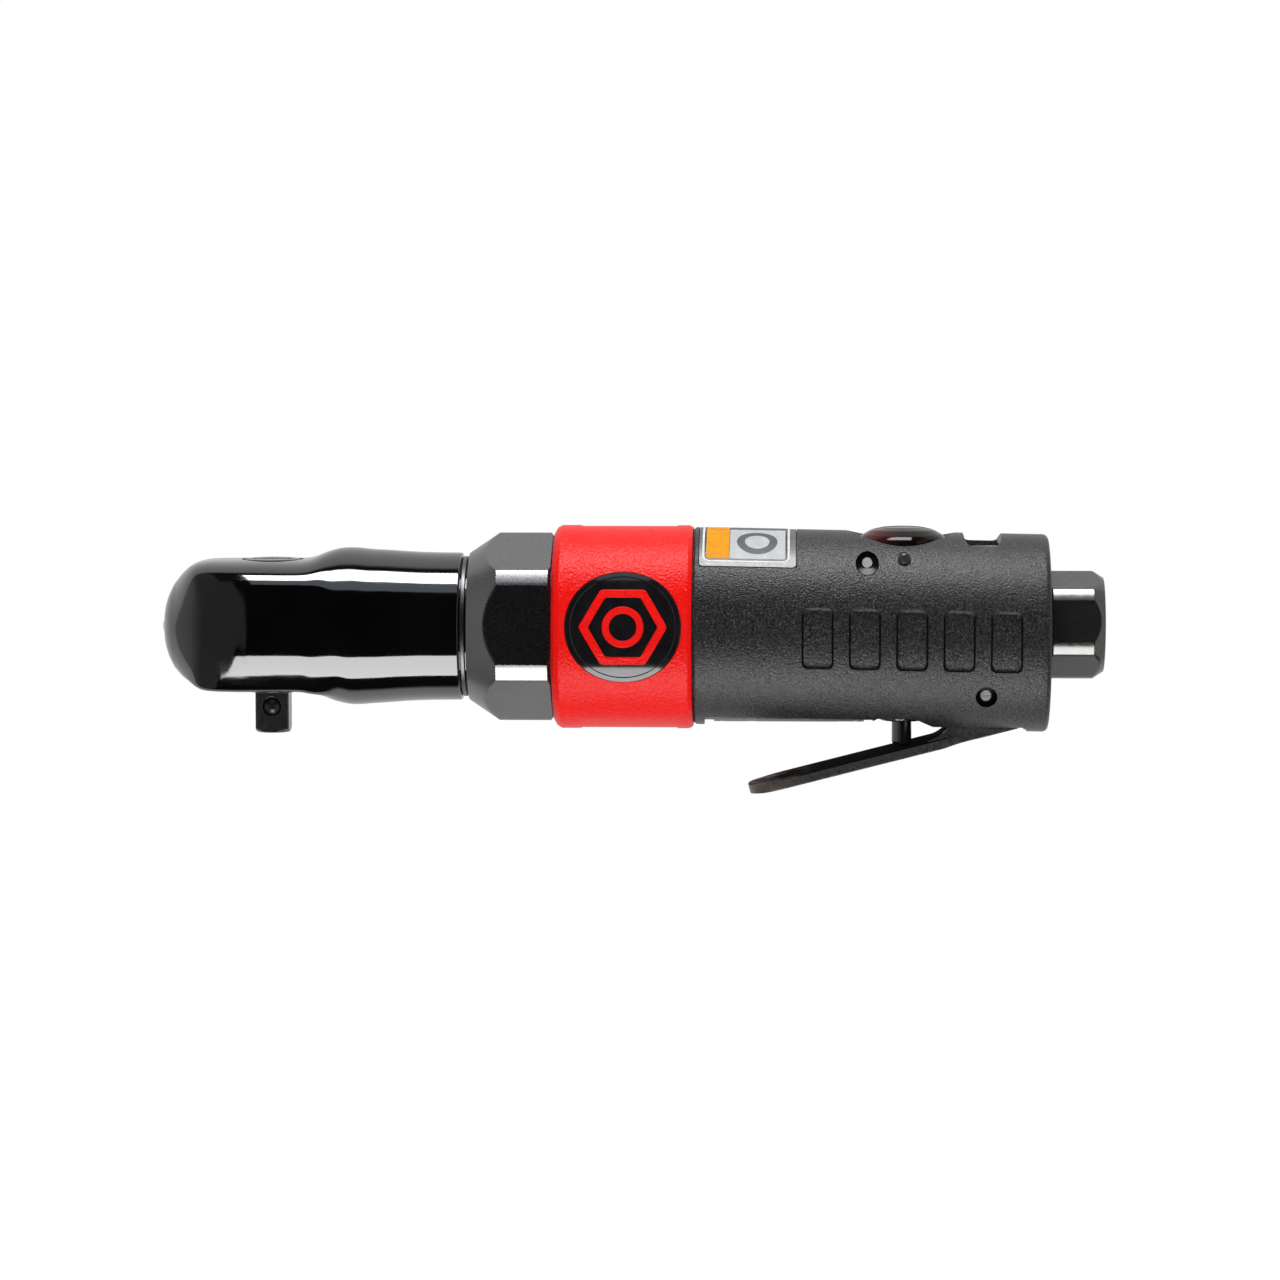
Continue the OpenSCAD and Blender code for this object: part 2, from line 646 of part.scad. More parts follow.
module exhaust_muffler() color([0.3, 0.3, 0.3]) lift() intersection() {
  box(129.1, 140.2, -8.9, 8.9, 10.7, 17);
  rod(129, 141, 15.5);
}

ratchet_housing();
grease_plug();
neck_ring();
reverse_knob();
pawl_plunger();
pawl_spring();
anvil();
detent_ball();
detent_spring();
pawl();
pawl_pin();
anvil_bushing();
anvil_retaining_ring();
thrust_washer();
ratchet_yoke();
crank_bushing();
crankshaft();
planet_pins();
bearing_carrier();
crank_needle_bearing();
nut_retaining_ring();
clamp_nut();
ring_gear();
planet_gear_1();
planet_gear_2();
planet_gear_3();
motor_case();
front_end_plate();
front_bearing();
cylinder_liner();
rotor();
rotor_vanes();
rear_end_plate();
rear_bearing();
color_band();
band_badge();
grip_shell();
upper_label();
lower_label();
housing_pin();
lever_pin();
regulator_pin();
throttle_lever();
throttle_valve();
valve_spring();
valve_bushing();
regulator_dial();
regulator_seal();
inlet_bushing();
inlet_screen();
inlet_seal();
exhaust_muffler();
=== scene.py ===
import json
import math

import bmesh
import bpy
import numpy as np
from mathutils import Matrix, Vector


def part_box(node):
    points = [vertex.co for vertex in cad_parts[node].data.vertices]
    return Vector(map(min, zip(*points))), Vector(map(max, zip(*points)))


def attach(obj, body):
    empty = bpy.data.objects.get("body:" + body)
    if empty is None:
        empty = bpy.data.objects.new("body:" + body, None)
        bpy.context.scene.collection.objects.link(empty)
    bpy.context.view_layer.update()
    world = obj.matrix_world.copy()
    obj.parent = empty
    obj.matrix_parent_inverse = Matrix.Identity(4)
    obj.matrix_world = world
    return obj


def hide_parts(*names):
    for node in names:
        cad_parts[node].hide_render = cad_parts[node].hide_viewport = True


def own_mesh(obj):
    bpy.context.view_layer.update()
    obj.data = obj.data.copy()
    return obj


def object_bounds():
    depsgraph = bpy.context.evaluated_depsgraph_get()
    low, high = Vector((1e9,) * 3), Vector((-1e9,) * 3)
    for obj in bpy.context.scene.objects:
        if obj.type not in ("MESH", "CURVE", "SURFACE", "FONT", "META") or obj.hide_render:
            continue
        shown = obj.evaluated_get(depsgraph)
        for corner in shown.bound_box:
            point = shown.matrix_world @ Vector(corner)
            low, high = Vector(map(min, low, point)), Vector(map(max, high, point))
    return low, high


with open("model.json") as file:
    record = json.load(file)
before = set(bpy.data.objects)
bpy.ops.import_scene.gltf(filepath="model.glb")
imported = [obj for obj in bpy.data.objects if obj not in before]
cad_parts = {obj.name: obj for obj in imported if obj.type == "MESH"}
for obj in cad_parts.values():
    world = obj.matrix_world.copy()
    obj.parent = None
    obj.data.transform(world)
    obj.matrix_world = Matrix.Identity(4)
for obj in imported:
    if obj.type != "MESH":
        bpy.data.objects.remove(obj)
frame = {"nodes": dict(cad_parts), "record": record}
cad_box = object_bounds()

# Lengths below are in millimetres, counted from the tool axis; AXIS_Z lifts them to the row frame.
NODE_BODY = {n: b for b, ns in frame["record"]["behaviour"]["bodies"].items() for n in ns}
SLOT = {s["node"]: s["material_slot"] for s in frame["record"]["subparts"]}
head_lo, head_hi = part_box("clamp_nut")
AXIS_Z = 1000.0 * (head_lo[2] + head_hi[2]) / 2.0
TILT = math.radians(1.07)        # droop of the grip shell behind the band
SHELL_R = 18.7
stem_lo, stem_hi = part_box("throttle_valve")
VALVE_X = 1000.0 * (stem_lo[0] + stem_hi[0]) / 2.0
PIVOT_X = 135.1
PIVOT_Z = -11.8
PI = math.pi


# ---------------------------------------------------------------- mesh tools
def mesh_from(name, verts, faces, smooth=28.0, merge=0.0, lift=True):
    """A mesh object from points in millimetres about the tool axis."""
    v = np.array(verts, dtype=float)
    if lift:
        v = v + np.array([0.0, 0.0, AXIS_Z])
    v = v / 1000.0
    me = bpy.data.meshes.new(name)
    me.from_pydata([tuple(p) for p in v], [], [tuple(f) for f in faces])
    me.update()
    bm = bmesh.new()
    bm.from_mesh(me)
    if merge:
        bmesh.ops.remove_doubles(bm, verts=bm.verts, dist=merge / 1000.0)
    bmesh.ops.recalc_face_normals(bm, faces=bm.faces)
    bm.to_mesh(me)
    bm.free()
    ob = bpy.data.objects.new(name, me)
    bpy.context.scene.collection.objects.link(ob)
    shade(ob, smooth)
    return ob


def shade(ob, angle=28.0):
    me = ob.data
    me.polygons.foreach_set("use_smooth", [True] * len(me.polygons))
    me.set_sharp_from_angle(angle=math.radians(angle))
    me.update()


def apply_mods(ob):
    """Bakes the modifiers of ob into its mesh."""
    dg = bpy.context.evaluated_depsgraph_get()
    me = bpy.data.meshes.new_from_object(ob.evaluated_get(dg), depsgraph=dg)
    me.name = ob.name
    old = ob.data
    ob.modifiers.clear()
    ob.data = me
    bpy.data.meshes.remove(old)


def cut(ob, cutters, op="DIFFERENCE", solver="MANIFOLD"):
    for c in cutters:
        m = ob.modifiers.new("cut", "BOOLEAN")
        m.operation = op
        m.solver = solver
        m.object = c
        apply_mods(ob)
        bpy.data.objects.remove(c, do_unlink=True)
    return ob


def tidy(ob, dist=0.004):
    bm = bmesh.new()
    bm.from_mesh(ob.data)
    bmesh.ops.dissolve_degenerate(bm, edges=bm.edges, dist=dist / 1000.0)
    bm.to_mesh(ob.data)
    bm.free()
    return ob


def bevel(ob, width, segments=3, angle=35.0, smooth=40.0):
    m = ob.modifiers.new("bevel", "BEVEL")
    m.width = width / 1000.0
    m.segments = segments
    m.limit_method = "ANGLE"
    m.angle_limit = math.radians(angle)
    m.miter_outer = "MITER_ARC"
    m.use_clamp_overlap = True
    apply_mods(ob)
    shade(ob, smooth)
    return ob


def fillet(pts, closed=False, seg=5):
    """Rounds a polyline. Each point is (a, b) or (a, b, radius)."""
    n = len(pts)
    out = []
    for i, p in enumerate(pts):
        r = p[2] if len(p) > 2 else 0.0
        if r <= 0 or (not closed and i in (0, n - 1)):
            out.append((p[0], p[1]))
            continue
        a = np.array(pts[(i - 1) % n][:2], float)
        b = np.array(p[:2], float)
        c = np.array(pts[(i + 1) % n][:2], float)
        u, w = a - b, c - b
        lu, lw = np.linalg.norm(u), np.linalg.norm(w)
        u, w = u / lu, w / lw
        half = math.acos(max(-1.0, min(1.0, float(u @ w)))) / 2
        if abs(half - PI / 2) < 0.02 or half < 0.02:
            out.append((b[0], b[1]))
            continue
        t = min(r / math.tan(half), 0.48 * lu, 0.48 * lw)
        rr = t * math.tan(half)
        mid = (u + w) / np.linalg.norm(u + w)
        c0 = b + mid * (rr / math.sin(half))
        p0, p1 = b + u * t - c0, b + w * t - c0
        a0 = math.atan2(p0[1], p0[0])
        a1 = math.atan2(p1[1], p1[0])
        d = (a1 - a0 + PI) % (2 * PI) - PI
        for k in range(seg + 1):
            q = a0 + d * k / seg
            out.append((c0[0] + rr * math.cos(q), c0[1] + rr * math.sin(q)))
    return out


def densify(pts, step, closed=False):
    out = []
    n = len(pts)
    for i in range(n if closed else n - 1):
        a, b = np.array(pts[i]), np.array(pts[(i + 1) % n])
        k = max(1, int(math.ceil(np.linalg.norm(b - a) / step)))
        for j in range(k):
            out.append(tuple(a + (b - a) * j / k))
    if not closed:
        out.append(tuple(pts[-1]))
    return out


def revolve(name, prof, n=128, closed=False, disp=None, axis="x", centre=(0.0, 0.0), thetas=None, smooth=28.0):
    """Turns points (x, r) about X, or (z, r) about Z. disp(x, r, theta, row) may return new x, r."""
    p = np.array(prof, dtype=float)
    th = np.linspace(0, 2 * PI, n, endpoint=False) if thetas is None else np.array(thetas)
    n = len(th)
    X = np.repeat(p[:, 0:1], n, axis=1)
    R = np.repeat(p[:, 1:2], n, axis=1)
    T = np.repeat(th[None, :], len(p), axis=0)
    I = np.repeat(np.arange(len(p))[:, None], n, axis=1)
    if disp is not None:
        X, R = disp(X, R, T, I)
    if axis == "x":
        V = np.stack([X, centre[0] + R * np.sin(T), centre[1] + R * np.cos(T)], axis=-1)
    else:
        V = np.stack([centre[0] + R * np.cos(T), centre[1] + R * np.sin(T), X], axis=-1)
    V = V.reshape(-1, 3)
    faces = []
    m = len(p)
    for i in range(m if closed else m - 1):
        i2 = (i + 1) % m
        a0, b0 = i * n, i2 * n
        for j in range(n):
            j2 = (j + 1) % n
            faces.append((a0 + j, b0 + j, b0 + j2, a0 + j2))
    if not closed:
        if p[0, 1] > 1e-6:
            faces.append(tuple(range(n)))
        if p[-1, 1] > 1e-6:
            faces.append(tuple(range((m - 1) * n, m * n)))
    return mesh_from(name, V, faces, smooth=smooth, merge=0.0005)


def prism(name, pts, lo, hi, plane="xz", smooth=30.0):
    """Extrudes an outline: plane xz runs along y, xy along z, yz along x."""
    n = len(pts)
    v = []
    for h in (lo, hi):
        for a, b in pts:
            v.append({"xz": (a, h, b), "xy": (a, b, h), "yz": (h, a, b)}[plane])
    f = [tuple(range(n)), tuple(range(n, 2 * n))]
    f += [(i, (i + 1) % n, n + (i + 1) % n, n + i) for i in range(n)]
    return mesh_from(name, v, f, smooth=smooth)


def rrect(x0, x1, y0, y1, r, seg=6):
    return fillet([(x0, y0, r), (x1, y0, r), (x1, y1, r), (x0, y1, r)], closed=True, seg=seg)


def smooth01(a, b, x):
    t = np.clip((x - a) / (b - a), 0, 1)
    return t * t * (3 - 2 * t)


def smin(a, b, k):
    h = np.clip(0.5 + 0.5 * (b - a) / k, 0, 1)
    return b * (1 - h) + a * h - k * h * (1 - h)


def sd_rrect(u, v, hu, hv, r):
    qu, qv = np.abs(u) - hu + r, np.abs(v) - hv + r
    return np.minimum(np.maximum(qu, qv), 0) + np.hypot(np.maximum(qu, 0), np.maximum(qv, 0)) - r


def theta_list(n, extra=()):
    base = list(np.linspace(0, 2 * PI, n, endpoint=False))
    keep = [t for t in base if all(abs((t - e + PI) % (2 * PI) - PI) > 0.4 * 2 * PI / n for e in extra)]
    return sorted(keep + [e % (2 * PI) for e in extra])


# ---------------------------------------------------------------- materials
class Mat:
    """A node material with short calls for the nodes used here."""

    def __init__(self, name):
        self.m = bpy.data.materials.new(name)
        self.m.use_nodes = True
        self.t = self.m.node_tree
        self.b = next(n for n in self.t.nodes if n.type == "BSDF_PRINCIPLED")
        self.coord = self.t.nodes.new("ShaderNodeTexCoord").outputs["Object"]

    def set(self, **kw):
        for k, v in kw.items():
            s = self.b.inputs[k.replace("_", " ")]
            if hasattr(v, "is_output") or isinstance(v, bpy.types.NodeSocket):
                self.t.links.new(v, s)
            elif isinstance(v, (tuple, list)):
                s.default_value = (*v, 1.0) if len(v) == 3 and len(s.default_value) == 4 else v
            else:
                s.default_value = v
        return self

    def mapping(self, scale=(1, 1, 1), vec=None):
        n = self.t.nodes.new("ShaderNodeMapping")
        n.inputs["Scale"].default_value = scale
        self.t.links.new(vec or self.coord, n.inputs["Vector"])
        return n.outputs[0]

    def noise(self, scale, detail=2.0, rough=0.5, vec=None, out="Fac"):
        n = self.t.nodes.new("ShaderNodeTexNoise")
        n.inputs["Scale"].default_value = scale
        n.inputs["Detail"].default_value = detail
        n.inputs["Roughness"].default_value = rough
        self.t.links.new(vec or self.coord, n.inputs["Vector"])
        return n.outputs[out]

    def voronoi(self, scale, vec=None, out="Distance", feature="F1"):
        n = self.t.nodes.new("ShaderNodeTexVoronoi")
        n.feature = feature
        n.inputs["Scale"].default_value = scale
        self.t.links.new(vec or self.coord, n.inputs["Vector"])
        return n.outputs[out]

    def ramp(self, fac, stops):
        n = self.t.nodes.new("ShaderNodeValToRGB")
        e = n.color_ramp.elements
        while len(e) < len(stops):
            e.new(0.5)
        for el, (p, c) in zip(e, stops):
            el.position = p
            el.color = (c, c, c, 1) if isinstance(c, (int, float)) else (*c, 1)
        self.t.links.new(fac, n.inputs[0])
        return n.outputs[0]

    def math(self, op, a, b=0.0, c=None, clamp=False):
        n = self.t.nodes.new("ShaderNodeMath")
        n.operation = op
        n.use_clamp = clamp
        for i, v in enumerate((a, b, c)):
            if v is None:
                continue
            if isinstance(v, bpy.types.NodeSocket):
                self.t.links.new(v, n.inputs[i])
            else:
                n.inputs[i].default_value = v
        return n.outputs[0]

    def map(self, v, a, b, c, d):
        n = self.t.nodes.new("ShaderNodeMapRange")
        n.clamp = True
        self.t.links.new(v, n.inputs[0])
        for i, x in enumerate((a, b, c, d)):
            n.inputs[i + 1].default_value = x
        return n.outputs[0]

    def mix(self, fac, a, b, blend="MIX"):
        n = self.t.nodes.new("ShaderNodeMix")
        n.data_type = "RGBA"
        n.blend_type = blend
        for s, v in ((n.inputs[0], fac), (n.inputs[6], a), (n.inputs[7], b)):
            if isinstance(v, bpy.types.NodeSocket):
                self.t.links.new(v, s)
            elif isinstance(v, (tuple, list)):
                s.default_value = (*v, 1.0)
            else:
                s.default_value = v
        return n.outputs[2]

    def sep(self):
        return self.sep_of(self.coord)

    def sep_of(self, vec):
        n = self.t.nodes.new("ShaderNodeSeparateXYZ")
        self.t.links.new(vec, n.inputs[0])
        return n.outputs

    def bump(self, height, strength=0.3, dist=0.0001, normal=None):
        n = self.t.nodes.new("ShaderNodeBump")
        n.inputs["Strength"].default_value = strength
        n.inputs["Distance"].default_value = dist
        self.t.links.new(height, n.inputs["Height"])
        if normal is not None:
            self.t.links.new(normal, n.inputs["Normal"])
        return n.outputs[0]

    def round_edges(self, mm):
        n = self.t.nodes.new("ShaderNodeBevel")
        n.samples = 4
        n.inputs["Radius"].default_value = mm / 1000.0
        return n.outputs[0]

    def wear(self, mm=0.35):
        """1 on outward edges, from the rounded normal against the true one."""
        g = self.t.nodes.new("ShaderNodeNewGeometry")
        d = self.t.nodes.new("ShaderNodeVectorMath")
        d.operation = "DOT_PRODUCT"
        self.t.links.new(self.round_edges(mm), d.inputs[0])
        self.t.links.new(g.outputs["Normal"], d.inputs[1])
        return self.map(d.outputs["Value"], 0.98, 0.85, 0.0, 1.0)


def m_gloss_black():
    a = Mat("gloss_black_steel")
    n1 = a.noise(60, 3, 0.55)
    fine = a.noise(900, 2, 0.6, vec=a.mapping((0.25, 1, 1)))
    scr = a.ramp(a.noise(2600, 1, 0.5, vec=a.mapping((0.05, 1, 1))), [(0.62, 0.0), (0.72, 1.0)])
    col = a.mix(a.map(n1, 0.35, 0.7, 0, 1), (0.0012, 0.0012, 0.0014), (0.0028, 0.0028, 0.0032))
    rough = a.math("ADD", a.map(fine, 0.3, 0.7, 0.045, 0.085), a.math("MULTIPLY", scr, 0.04))
    a.set(Base_Color=col, Roughness=rough, IOR=1.88, Coat_Weight=0.4, Coat_Roughness=0.03,
          Normal=a.bump(a.math("ADD", a.noise(170, 2, 0.5), a.math("MULTIPLY", fine, 0.12)), 0.22, 0.00004))
    return a.m


def m_steel(name, base, rough, grain=(0.2, 1, 1), scale=1800, spread=0.10, metallic=1.0, bump=0.12, edges=0.0, tint=None):
    a = Mat(name)
    g = a.noise(scale, 3, 0.6, vec=a.mapping(grain))
    big = a.noise(110, 3, 0.55)
    lo = tuple(c * 0.82 for c in base)
    hi = tuple(min(1, c * 1.12) for c in base)
    col = a.mix(a.map(g, 0.3, 0.7, 0, 1), lo, hi)
    col = a.mix(a.math("MULTIPLY", a.map(big, 0.4, 0.7, 0, 1), 0.35), col, tint or tuple(c * 0.7 for c in base))
    r = a.math("ADD", a.map(g, 0.3, 0.7, rough - spread / 2, rough + spread / 2), a.math("MULTIPLY", big, 0.04))
    a.set(Base_Color=col, Metallic=metallic, Roughness=r)
    if edges:
        w = a.wear(edges)
        a.set(Base_Color=a.mix(a.math("MULTIPLY", w, 0.6), col, tuple(min(1, c * 1.7 + 0.12) for c in base)))
        a.set(Normal=a.bump(g, bump, 0.00002, normal=a.round_edges(edges)))
    else:
        a.set(Normal=a.bump(g, bump, 0.00002))
    return a.m


def m_red():
    a = Mat("red_moulded_plastic")
    v = a.voronoi(2100, feature="SMOOTH_F1")
    f = a.noise(2800, 2, 0.6)
    big = a.noise(45, 2, 0.5)
    col = a.mix(a.map(f, 0.35, 0.7, 0, 1), (0.80, 0.0025, 0.0012), (0.94, 0.005, 0.0022))
    col = a.mix(a.math("MULTIPLY", a.map(big, 0.4, 0.7, 0, 1), 0.25), col, (0.74, 0.002, 0.001))
    h = a.math("ADD", a.math("MULTIPLY", v, 0.7), a.math("MULTIPLY", f, 0.6))
    a.set(Base_Color=col, Roughness=a.map(f, 0.3, 0.7, 0.27, 0.38), IOR=1.30,
          Normal=a.bump(h, 0.95, 0.00016, normal=a.round_edges(0.12)))
    return a.m


def m_composite():
    a = Mat("black_composite")
    g1 = a.noise(3100, 2, 0.65)
    g2 = a.noise(1900, 2, 0.6)
    # bright flecks in the colour are painted glints of the grained surface
    painted_glints = a.ramp(a.noise(3300, 1, 0.5, vec=a.mapping((1, 1.2, 0.95))), [(0.55, 0.0), (0.66, 1.0)])
    big = a.noise(38, 3, 0.5)
    col = a.mix(a.map(g2, 0.35, 0.7, 0, 1), (0.006, 0.006, 0.0065), (0.026, 0.026, 0.028))
    col = a.mix(a.math("MULTIPLY", painted_glints, 0.55), col, (0.10, 0.10, 0.105))
    col = a.mix(a.math("MULTIPLY", a.map(big, 0.4, 0.7, 0, 1), 0.25), col, (0.008, 0.008, 0.008))
    w = a.wear(0.30)
    col = a.mix(a.math("MULTIPLY", w, 0.35), col, (0.10, 0.10, 0.105))
    # painted shade in the step around each side recess, strongest at its sides and foot
    x, y, z = a.sep()
    mx = a.math("MULTIPLY", x, 1000.0)
    mz = a.math("MULTIPLY", a.math("SUBTRACT", z, AXIS_Z / 1000), 1000.0)
    t = a.math("SUBTRACT", mx, 80.2 + 23.35 - 8.79 / 2)
    zc = a.math("ADD", a.math("ADD", mz, 0.20), a.math("MULTIPLY", a.math("SUBTRACT", mx, 80.2), math.tan(TILT)))
    u = a.math("ABSOLUTE", a.math("SUBTRACT", a.math("FLOORED_MODULO", t, 8.79), 8.79 / 2))
    qx = a.math("SUBTRACT", u, 1.74)
    qz = a.math("SUBTRACT", a.math("ABSOLUTE", zc), 4.5)
    px, pz = a.math("MAXIMUM", qx, 0.0), a.math("MAXIMUM", qz, 0.0)
    far = a.math("SQRT", a.math("ADD", a.math("MULTIPLY", px, px), a.math("MULTIPLY", pz, pz)))
    d = a.math("SUBTRACT", a.math("ADD", far, a.math("MINIMUM", a.math("MAXIMUM", qx, qz), 0.0)), 1.1)
    line = a.map(a.math("ABSOLUTE", a.math("ADD", d, 0.04)), 0.10, 0.26, 1.0, 0.0)
    line = a.math("MULTIPLY", line, a.map(zc, 4.3, 5.1, 1.0, 0.0))
    line = a.math("MULTIPLY", line, a.math("MULTIPLY", a.math("GREATER_THAN", t, 0.0), a.math("LESS_THAN", t, 5 * 8.79)))
    # the masked step is painted near black: painted shade
    col = a.mix(a.math("MULTIPLY", line, 0.85), col, (0.003, 0.003, 0.003))
    # painted shade in the two cross-pin holes
    for hx, hz, hr in ((112.8, 13.0, 2.15), (135.1, -11.8, 2.0)):
        dx, dz = a.math("SUBTRACT", mx, hx), a.math("SUBTRACT", mz, hz)
        rad = a.math("SQRT", a.math("ADD", a.math("MULTIPLY", dx, dx), a.math("MULTIPLY", dz, dz)))
        line = a.math("MAXIMUM", line, a.math("LESS_THAN", rad, hr + 0.03))
    # the holes join the painted shade mask and turn near black
    col = a.mix(line, col, a.mix(0.85, col, (0.003, 0.003, 0.003)))
    h = a.math("ADD", g1, a.math("MULTIPLY", g2, 0.9))
    # the painted shade mask of steps and holes also lowers the specular level there
    a.set(Base_Color=col, Roughness=a.map(g1, 0.3, 0.7, 0.22, 0.40), IOR=1.5, Specular_IOR_Level=a.map(line, 0.0, 1.0, 0.47, 0.05),
          Normal=a.bump(h, 1.0, 0.00012, normal=a.round_edges(0.12)))
    return a.m


def m_black_oxide(name="black_oxide", base=(0.20, 0.196, 0.192), rough=0.19):
    return m_steel(name, base, rough, grain=(0.35, 1, 1), scale=2200, spread=0.10, metallic=0.95, bump=0.13, edges=0.22)


def m_lever():
    a = Mat("lever_black_coat")
    x, y, z = a.sep()
    g = a.noise(1500, 3, 0.6)
    patch = a.noise(160, 4, 0.6)
    tip = a.map(x, 0.0915, 0.1030, 1.0, 0.0)
    col = a.mix(a.map(g, 0.35, 0.7, 0, 1), (0.020, 0.0195, 0.0195), (0.044, 0.0425, 0.0415))
    tipw = a.math("MULTIPLY", tip, a.map(patch, 0.42, 0.62, 0.0, 1.0))
    col = a.mix(a.math("MULTIPLY", tipw, 0.7), col, (0.16, 0.115, 0.09))
    # light rims: worn coat at the edges plus a painted rim highlight
    edge = a.wear(0.35)
    rim_wear_and_highlight = a.math("MULTIPLY", edge, a.map(patch, 0.3, 0.6, 0.45, 1.0))
    col = a.mix(a.math("MULTIPLY", rim_wear_and_highlight, 0.75), col, (0.33, 0.31, 0.29))
    met = a.math("ADD", a.math("MULTIPLY", rim_wear_and_highlight, 0.7), a.math("MULTIPLY", tipw, 0.4), clamp=True)
    # upward faces lose their specular reflection: painted shade that keeps the top of the lever dark
    up = a.sep_of(a.t.nodes.new("ShaderNodeNewGeometry").outputs["Normal"])[2]
    a.set(Specular_IOR_Level=a.map(up, 0.25, 0.75, 0.5, 0.0))
    a.set(Base_Color=col, Metallic=met, Roughness=a.map(g, 0.3, 0.7, 0.24, 0.40), IOR=1.6,
          Normal=a.bump(a.math("ADD", g, a.math("MULTIPLY", patch, 0.8)), 0.22, 0.00006, normal=a.round_edges(0.25)))
    return a.m


def m_gloss(name, col, rough=0.12, var=0.25, coat=0.6, metallic=0.0, bump=0.08):
    a = Mat(name)
    n = a.noise(420, 3, 0.5)
    c = a.mix(a.map(n, 0.35, 0.7, 0, 1), tuple(k * (1 - var) for k in col), tuple(min(1, k * (1 + var * 0.6)) for k in col))
    a.set(Base_Color=c, Roughness=a.map(n, 0.3, 0.7, rough * 0.8, rough * 1.3), Coat_Weight=coat, Coat_Roughness=0.06, Metallic=metallic,
          Normal=a.bump(a.noise(1300, 2, 0.5), bump, 0.00003))
    return a.m


def m_foil(name, col, rough, metallic, spec=0.5):
    a = Mat(name)
    n = a.noise(700, 3, 0.6)
    f = a.noise(4200, 2, 0.5)
    c = a.mix(a.map(n, 0.35, 0.7, 0, 1), tuple(k * 0.9 for k in col), tuple(min(1, k * 1.08) for k in col))
    a.set(Base_Color=c, Metallic=metallic, Roughness=a.map(f, 0.3, 0.7, rough - 0.06, rough + 0.08), Specular_IOR_Level=spec,
          Normal=a.bump(f, 0.10, 0.00002))
    return a.m


def m_dial():
    a = Mat("dial_dark_red_and_painted_reflection")
    x, y, z = a.sep()
    n = a.noise(700, 3, 0.55)
    c = a.mix(a.map(n, 0.35, 0.7, 0, 1), (0.006, 0.003, 0.003), (0.012, 0.004, 0.004))
    # the red tint over the left part of the dial is a painted red reflection
    c = a.mix(a.map(x, VALVE_X / 1000 - 0.0050, VALVE_X / 1000 - 0.0005, 0.6, 0.0), c, (0.085, 0.003, 0.004))
    a.set(Base_Color=c, Roughness=a.map(n, 0.3, 0.7, 0.06, 0.12), IOR=1.33,
          Normal=a.bump(a.noise(1500, 2, 0.5), 0.05, 0.00002, normal=a.round_edges(0.2)))
    return a.m


def m_porous():
    a = Mat("silencer_felt")
    v = a.voronoi(2200)
    n = a.noise(1800, 3, 0.6)
    a.set(Base_Color=a.mix(a.map(v, 0.1, 0.6, 0, 1), (0.38, 0.38, 0.37), (0.58, 0.58, 0.57)), Roughness=a.map(n, 0.3, 0.7, 0.7, 0.95),
          Normal=a.bump(v, 0.8, 0.0002))
    return a.m


def m_rubber():
    a = Mat("seal_rubber")
    n = a.noise(2200, 3, 0.6)
    a.set(Base_Color=a.mix(n, (0.008, 0.008, 0.008), (0.022, 0.022, 0.022)), Roughness=a.map(n, 0.3, 0.7, 0.45, 0.65), Normal=a.bump(n, 0.2, 0.00005))
    return a.m


def m_fibre():
    a = Mat("vane_fibre")
    w = a.noise(2600, 2, 0.5, vec=a.mapping((0.2, 1, 1)))
    a.set(Base_Color=a.mix(a.map(w, 0.35, 0.65, 0, 1), (0.10, 0.055, 0.03), (0.24, 0.14, 0.075)), Roughness=0.55, Normal=a.bump(w, 0.3, 0.00005))
    return a.m


MATS = {
    "black_polished_steel": m_gloss_black(),
    "bright_steel": m_steel("bright_steel", (0.60, 0.60, 0.61), 0.22, grain=(0.15, 1, 1), edges=0.1),
    "ball_steel": m_gloss("ball_black_oxide", (0.010, 0.010, 0.010), rough=0.24, coat=0.0, bump=0.05),
    "dark_steel": m_steel("dark_steel", (0.27, 0.27, 0.275), 0.27, grain=(1, 1, 0.2), edges=0.15),
    "spring_steel": m_steel("spring_steel", (0.45, 0.45, 0.46), 0.25, grain=(1, 1, 1)),
    "nut_steel": m_steel("nut_satin_steel", (0.262, 0.260, 0.265), 0.24, grain=(1, 0.7, 0.7), scale=4200, spread=0.06, bump=0.10, edges=0.12),
    "bronze": m_steel("sintered_bronze", (0.52, 0.36, 0.16), 0.42, grain=(1, 1, 1), bump=0.3),
    "alu": m_gloss("dark_anodised_aluminium", (0.022, 0.022, 0.024), rough=0.38, coat=0.0, bump=0.12),
    "iron": m_steel("ground_iron", (0.30, 0.30, 0.31), 0.38, grain=(1, 0.15, 0.15)),
    "red_plastic": m_red(),
    "badge_black": m_gloss("badge_gloss_black", (0.008, 0.008, 0.009), rough=0.13, coat=0.7),
    "black_composite": m_composite(),
    "label_silver": m_foil("label_foil", (0.175, 0.175, 0.18), 0.42, 0.6),
    "label_black": m_foil("label_black_film", (0.018, 0.018, 0.019), 0.25, 0.0),
    "lever_black": m_lever(),
    "black_oxide": m_black_oxide(),
    "vane_fibre": m_fibre(),
    "seal_rubber": m_rubber(),
    "dial_dark": m_dial(),
    "screen_mesh": m_steel("screen_steel", (0.5, 0.5, 0.51), 0.3, grain=(1, 1, 1)),
    "sintered": m_porous(),
}
M_RED = MATS["red_plastic"]
M_ORANGE = m_foil("label_orange_ink", (0.80, 0.315, 0.004), 0.50, 0.0, spec=0.12)
M_WHITE = m_foil("label_white_ink", (0.72, 0.72, 0.72), 0.50, 0.0)
M_PANEL = m_foil("label_panel_ink", (0.50, 0.51, 0.53), 0.50, 0.0)
M_INK = m_foil("label_dark_ink", (0.035, 0.036, 0.04), 0.30, 0.0)
M_GREY = m_foil("label_grey_ink", (0.085, 0.09, 0.105), 0.45, 0.0)
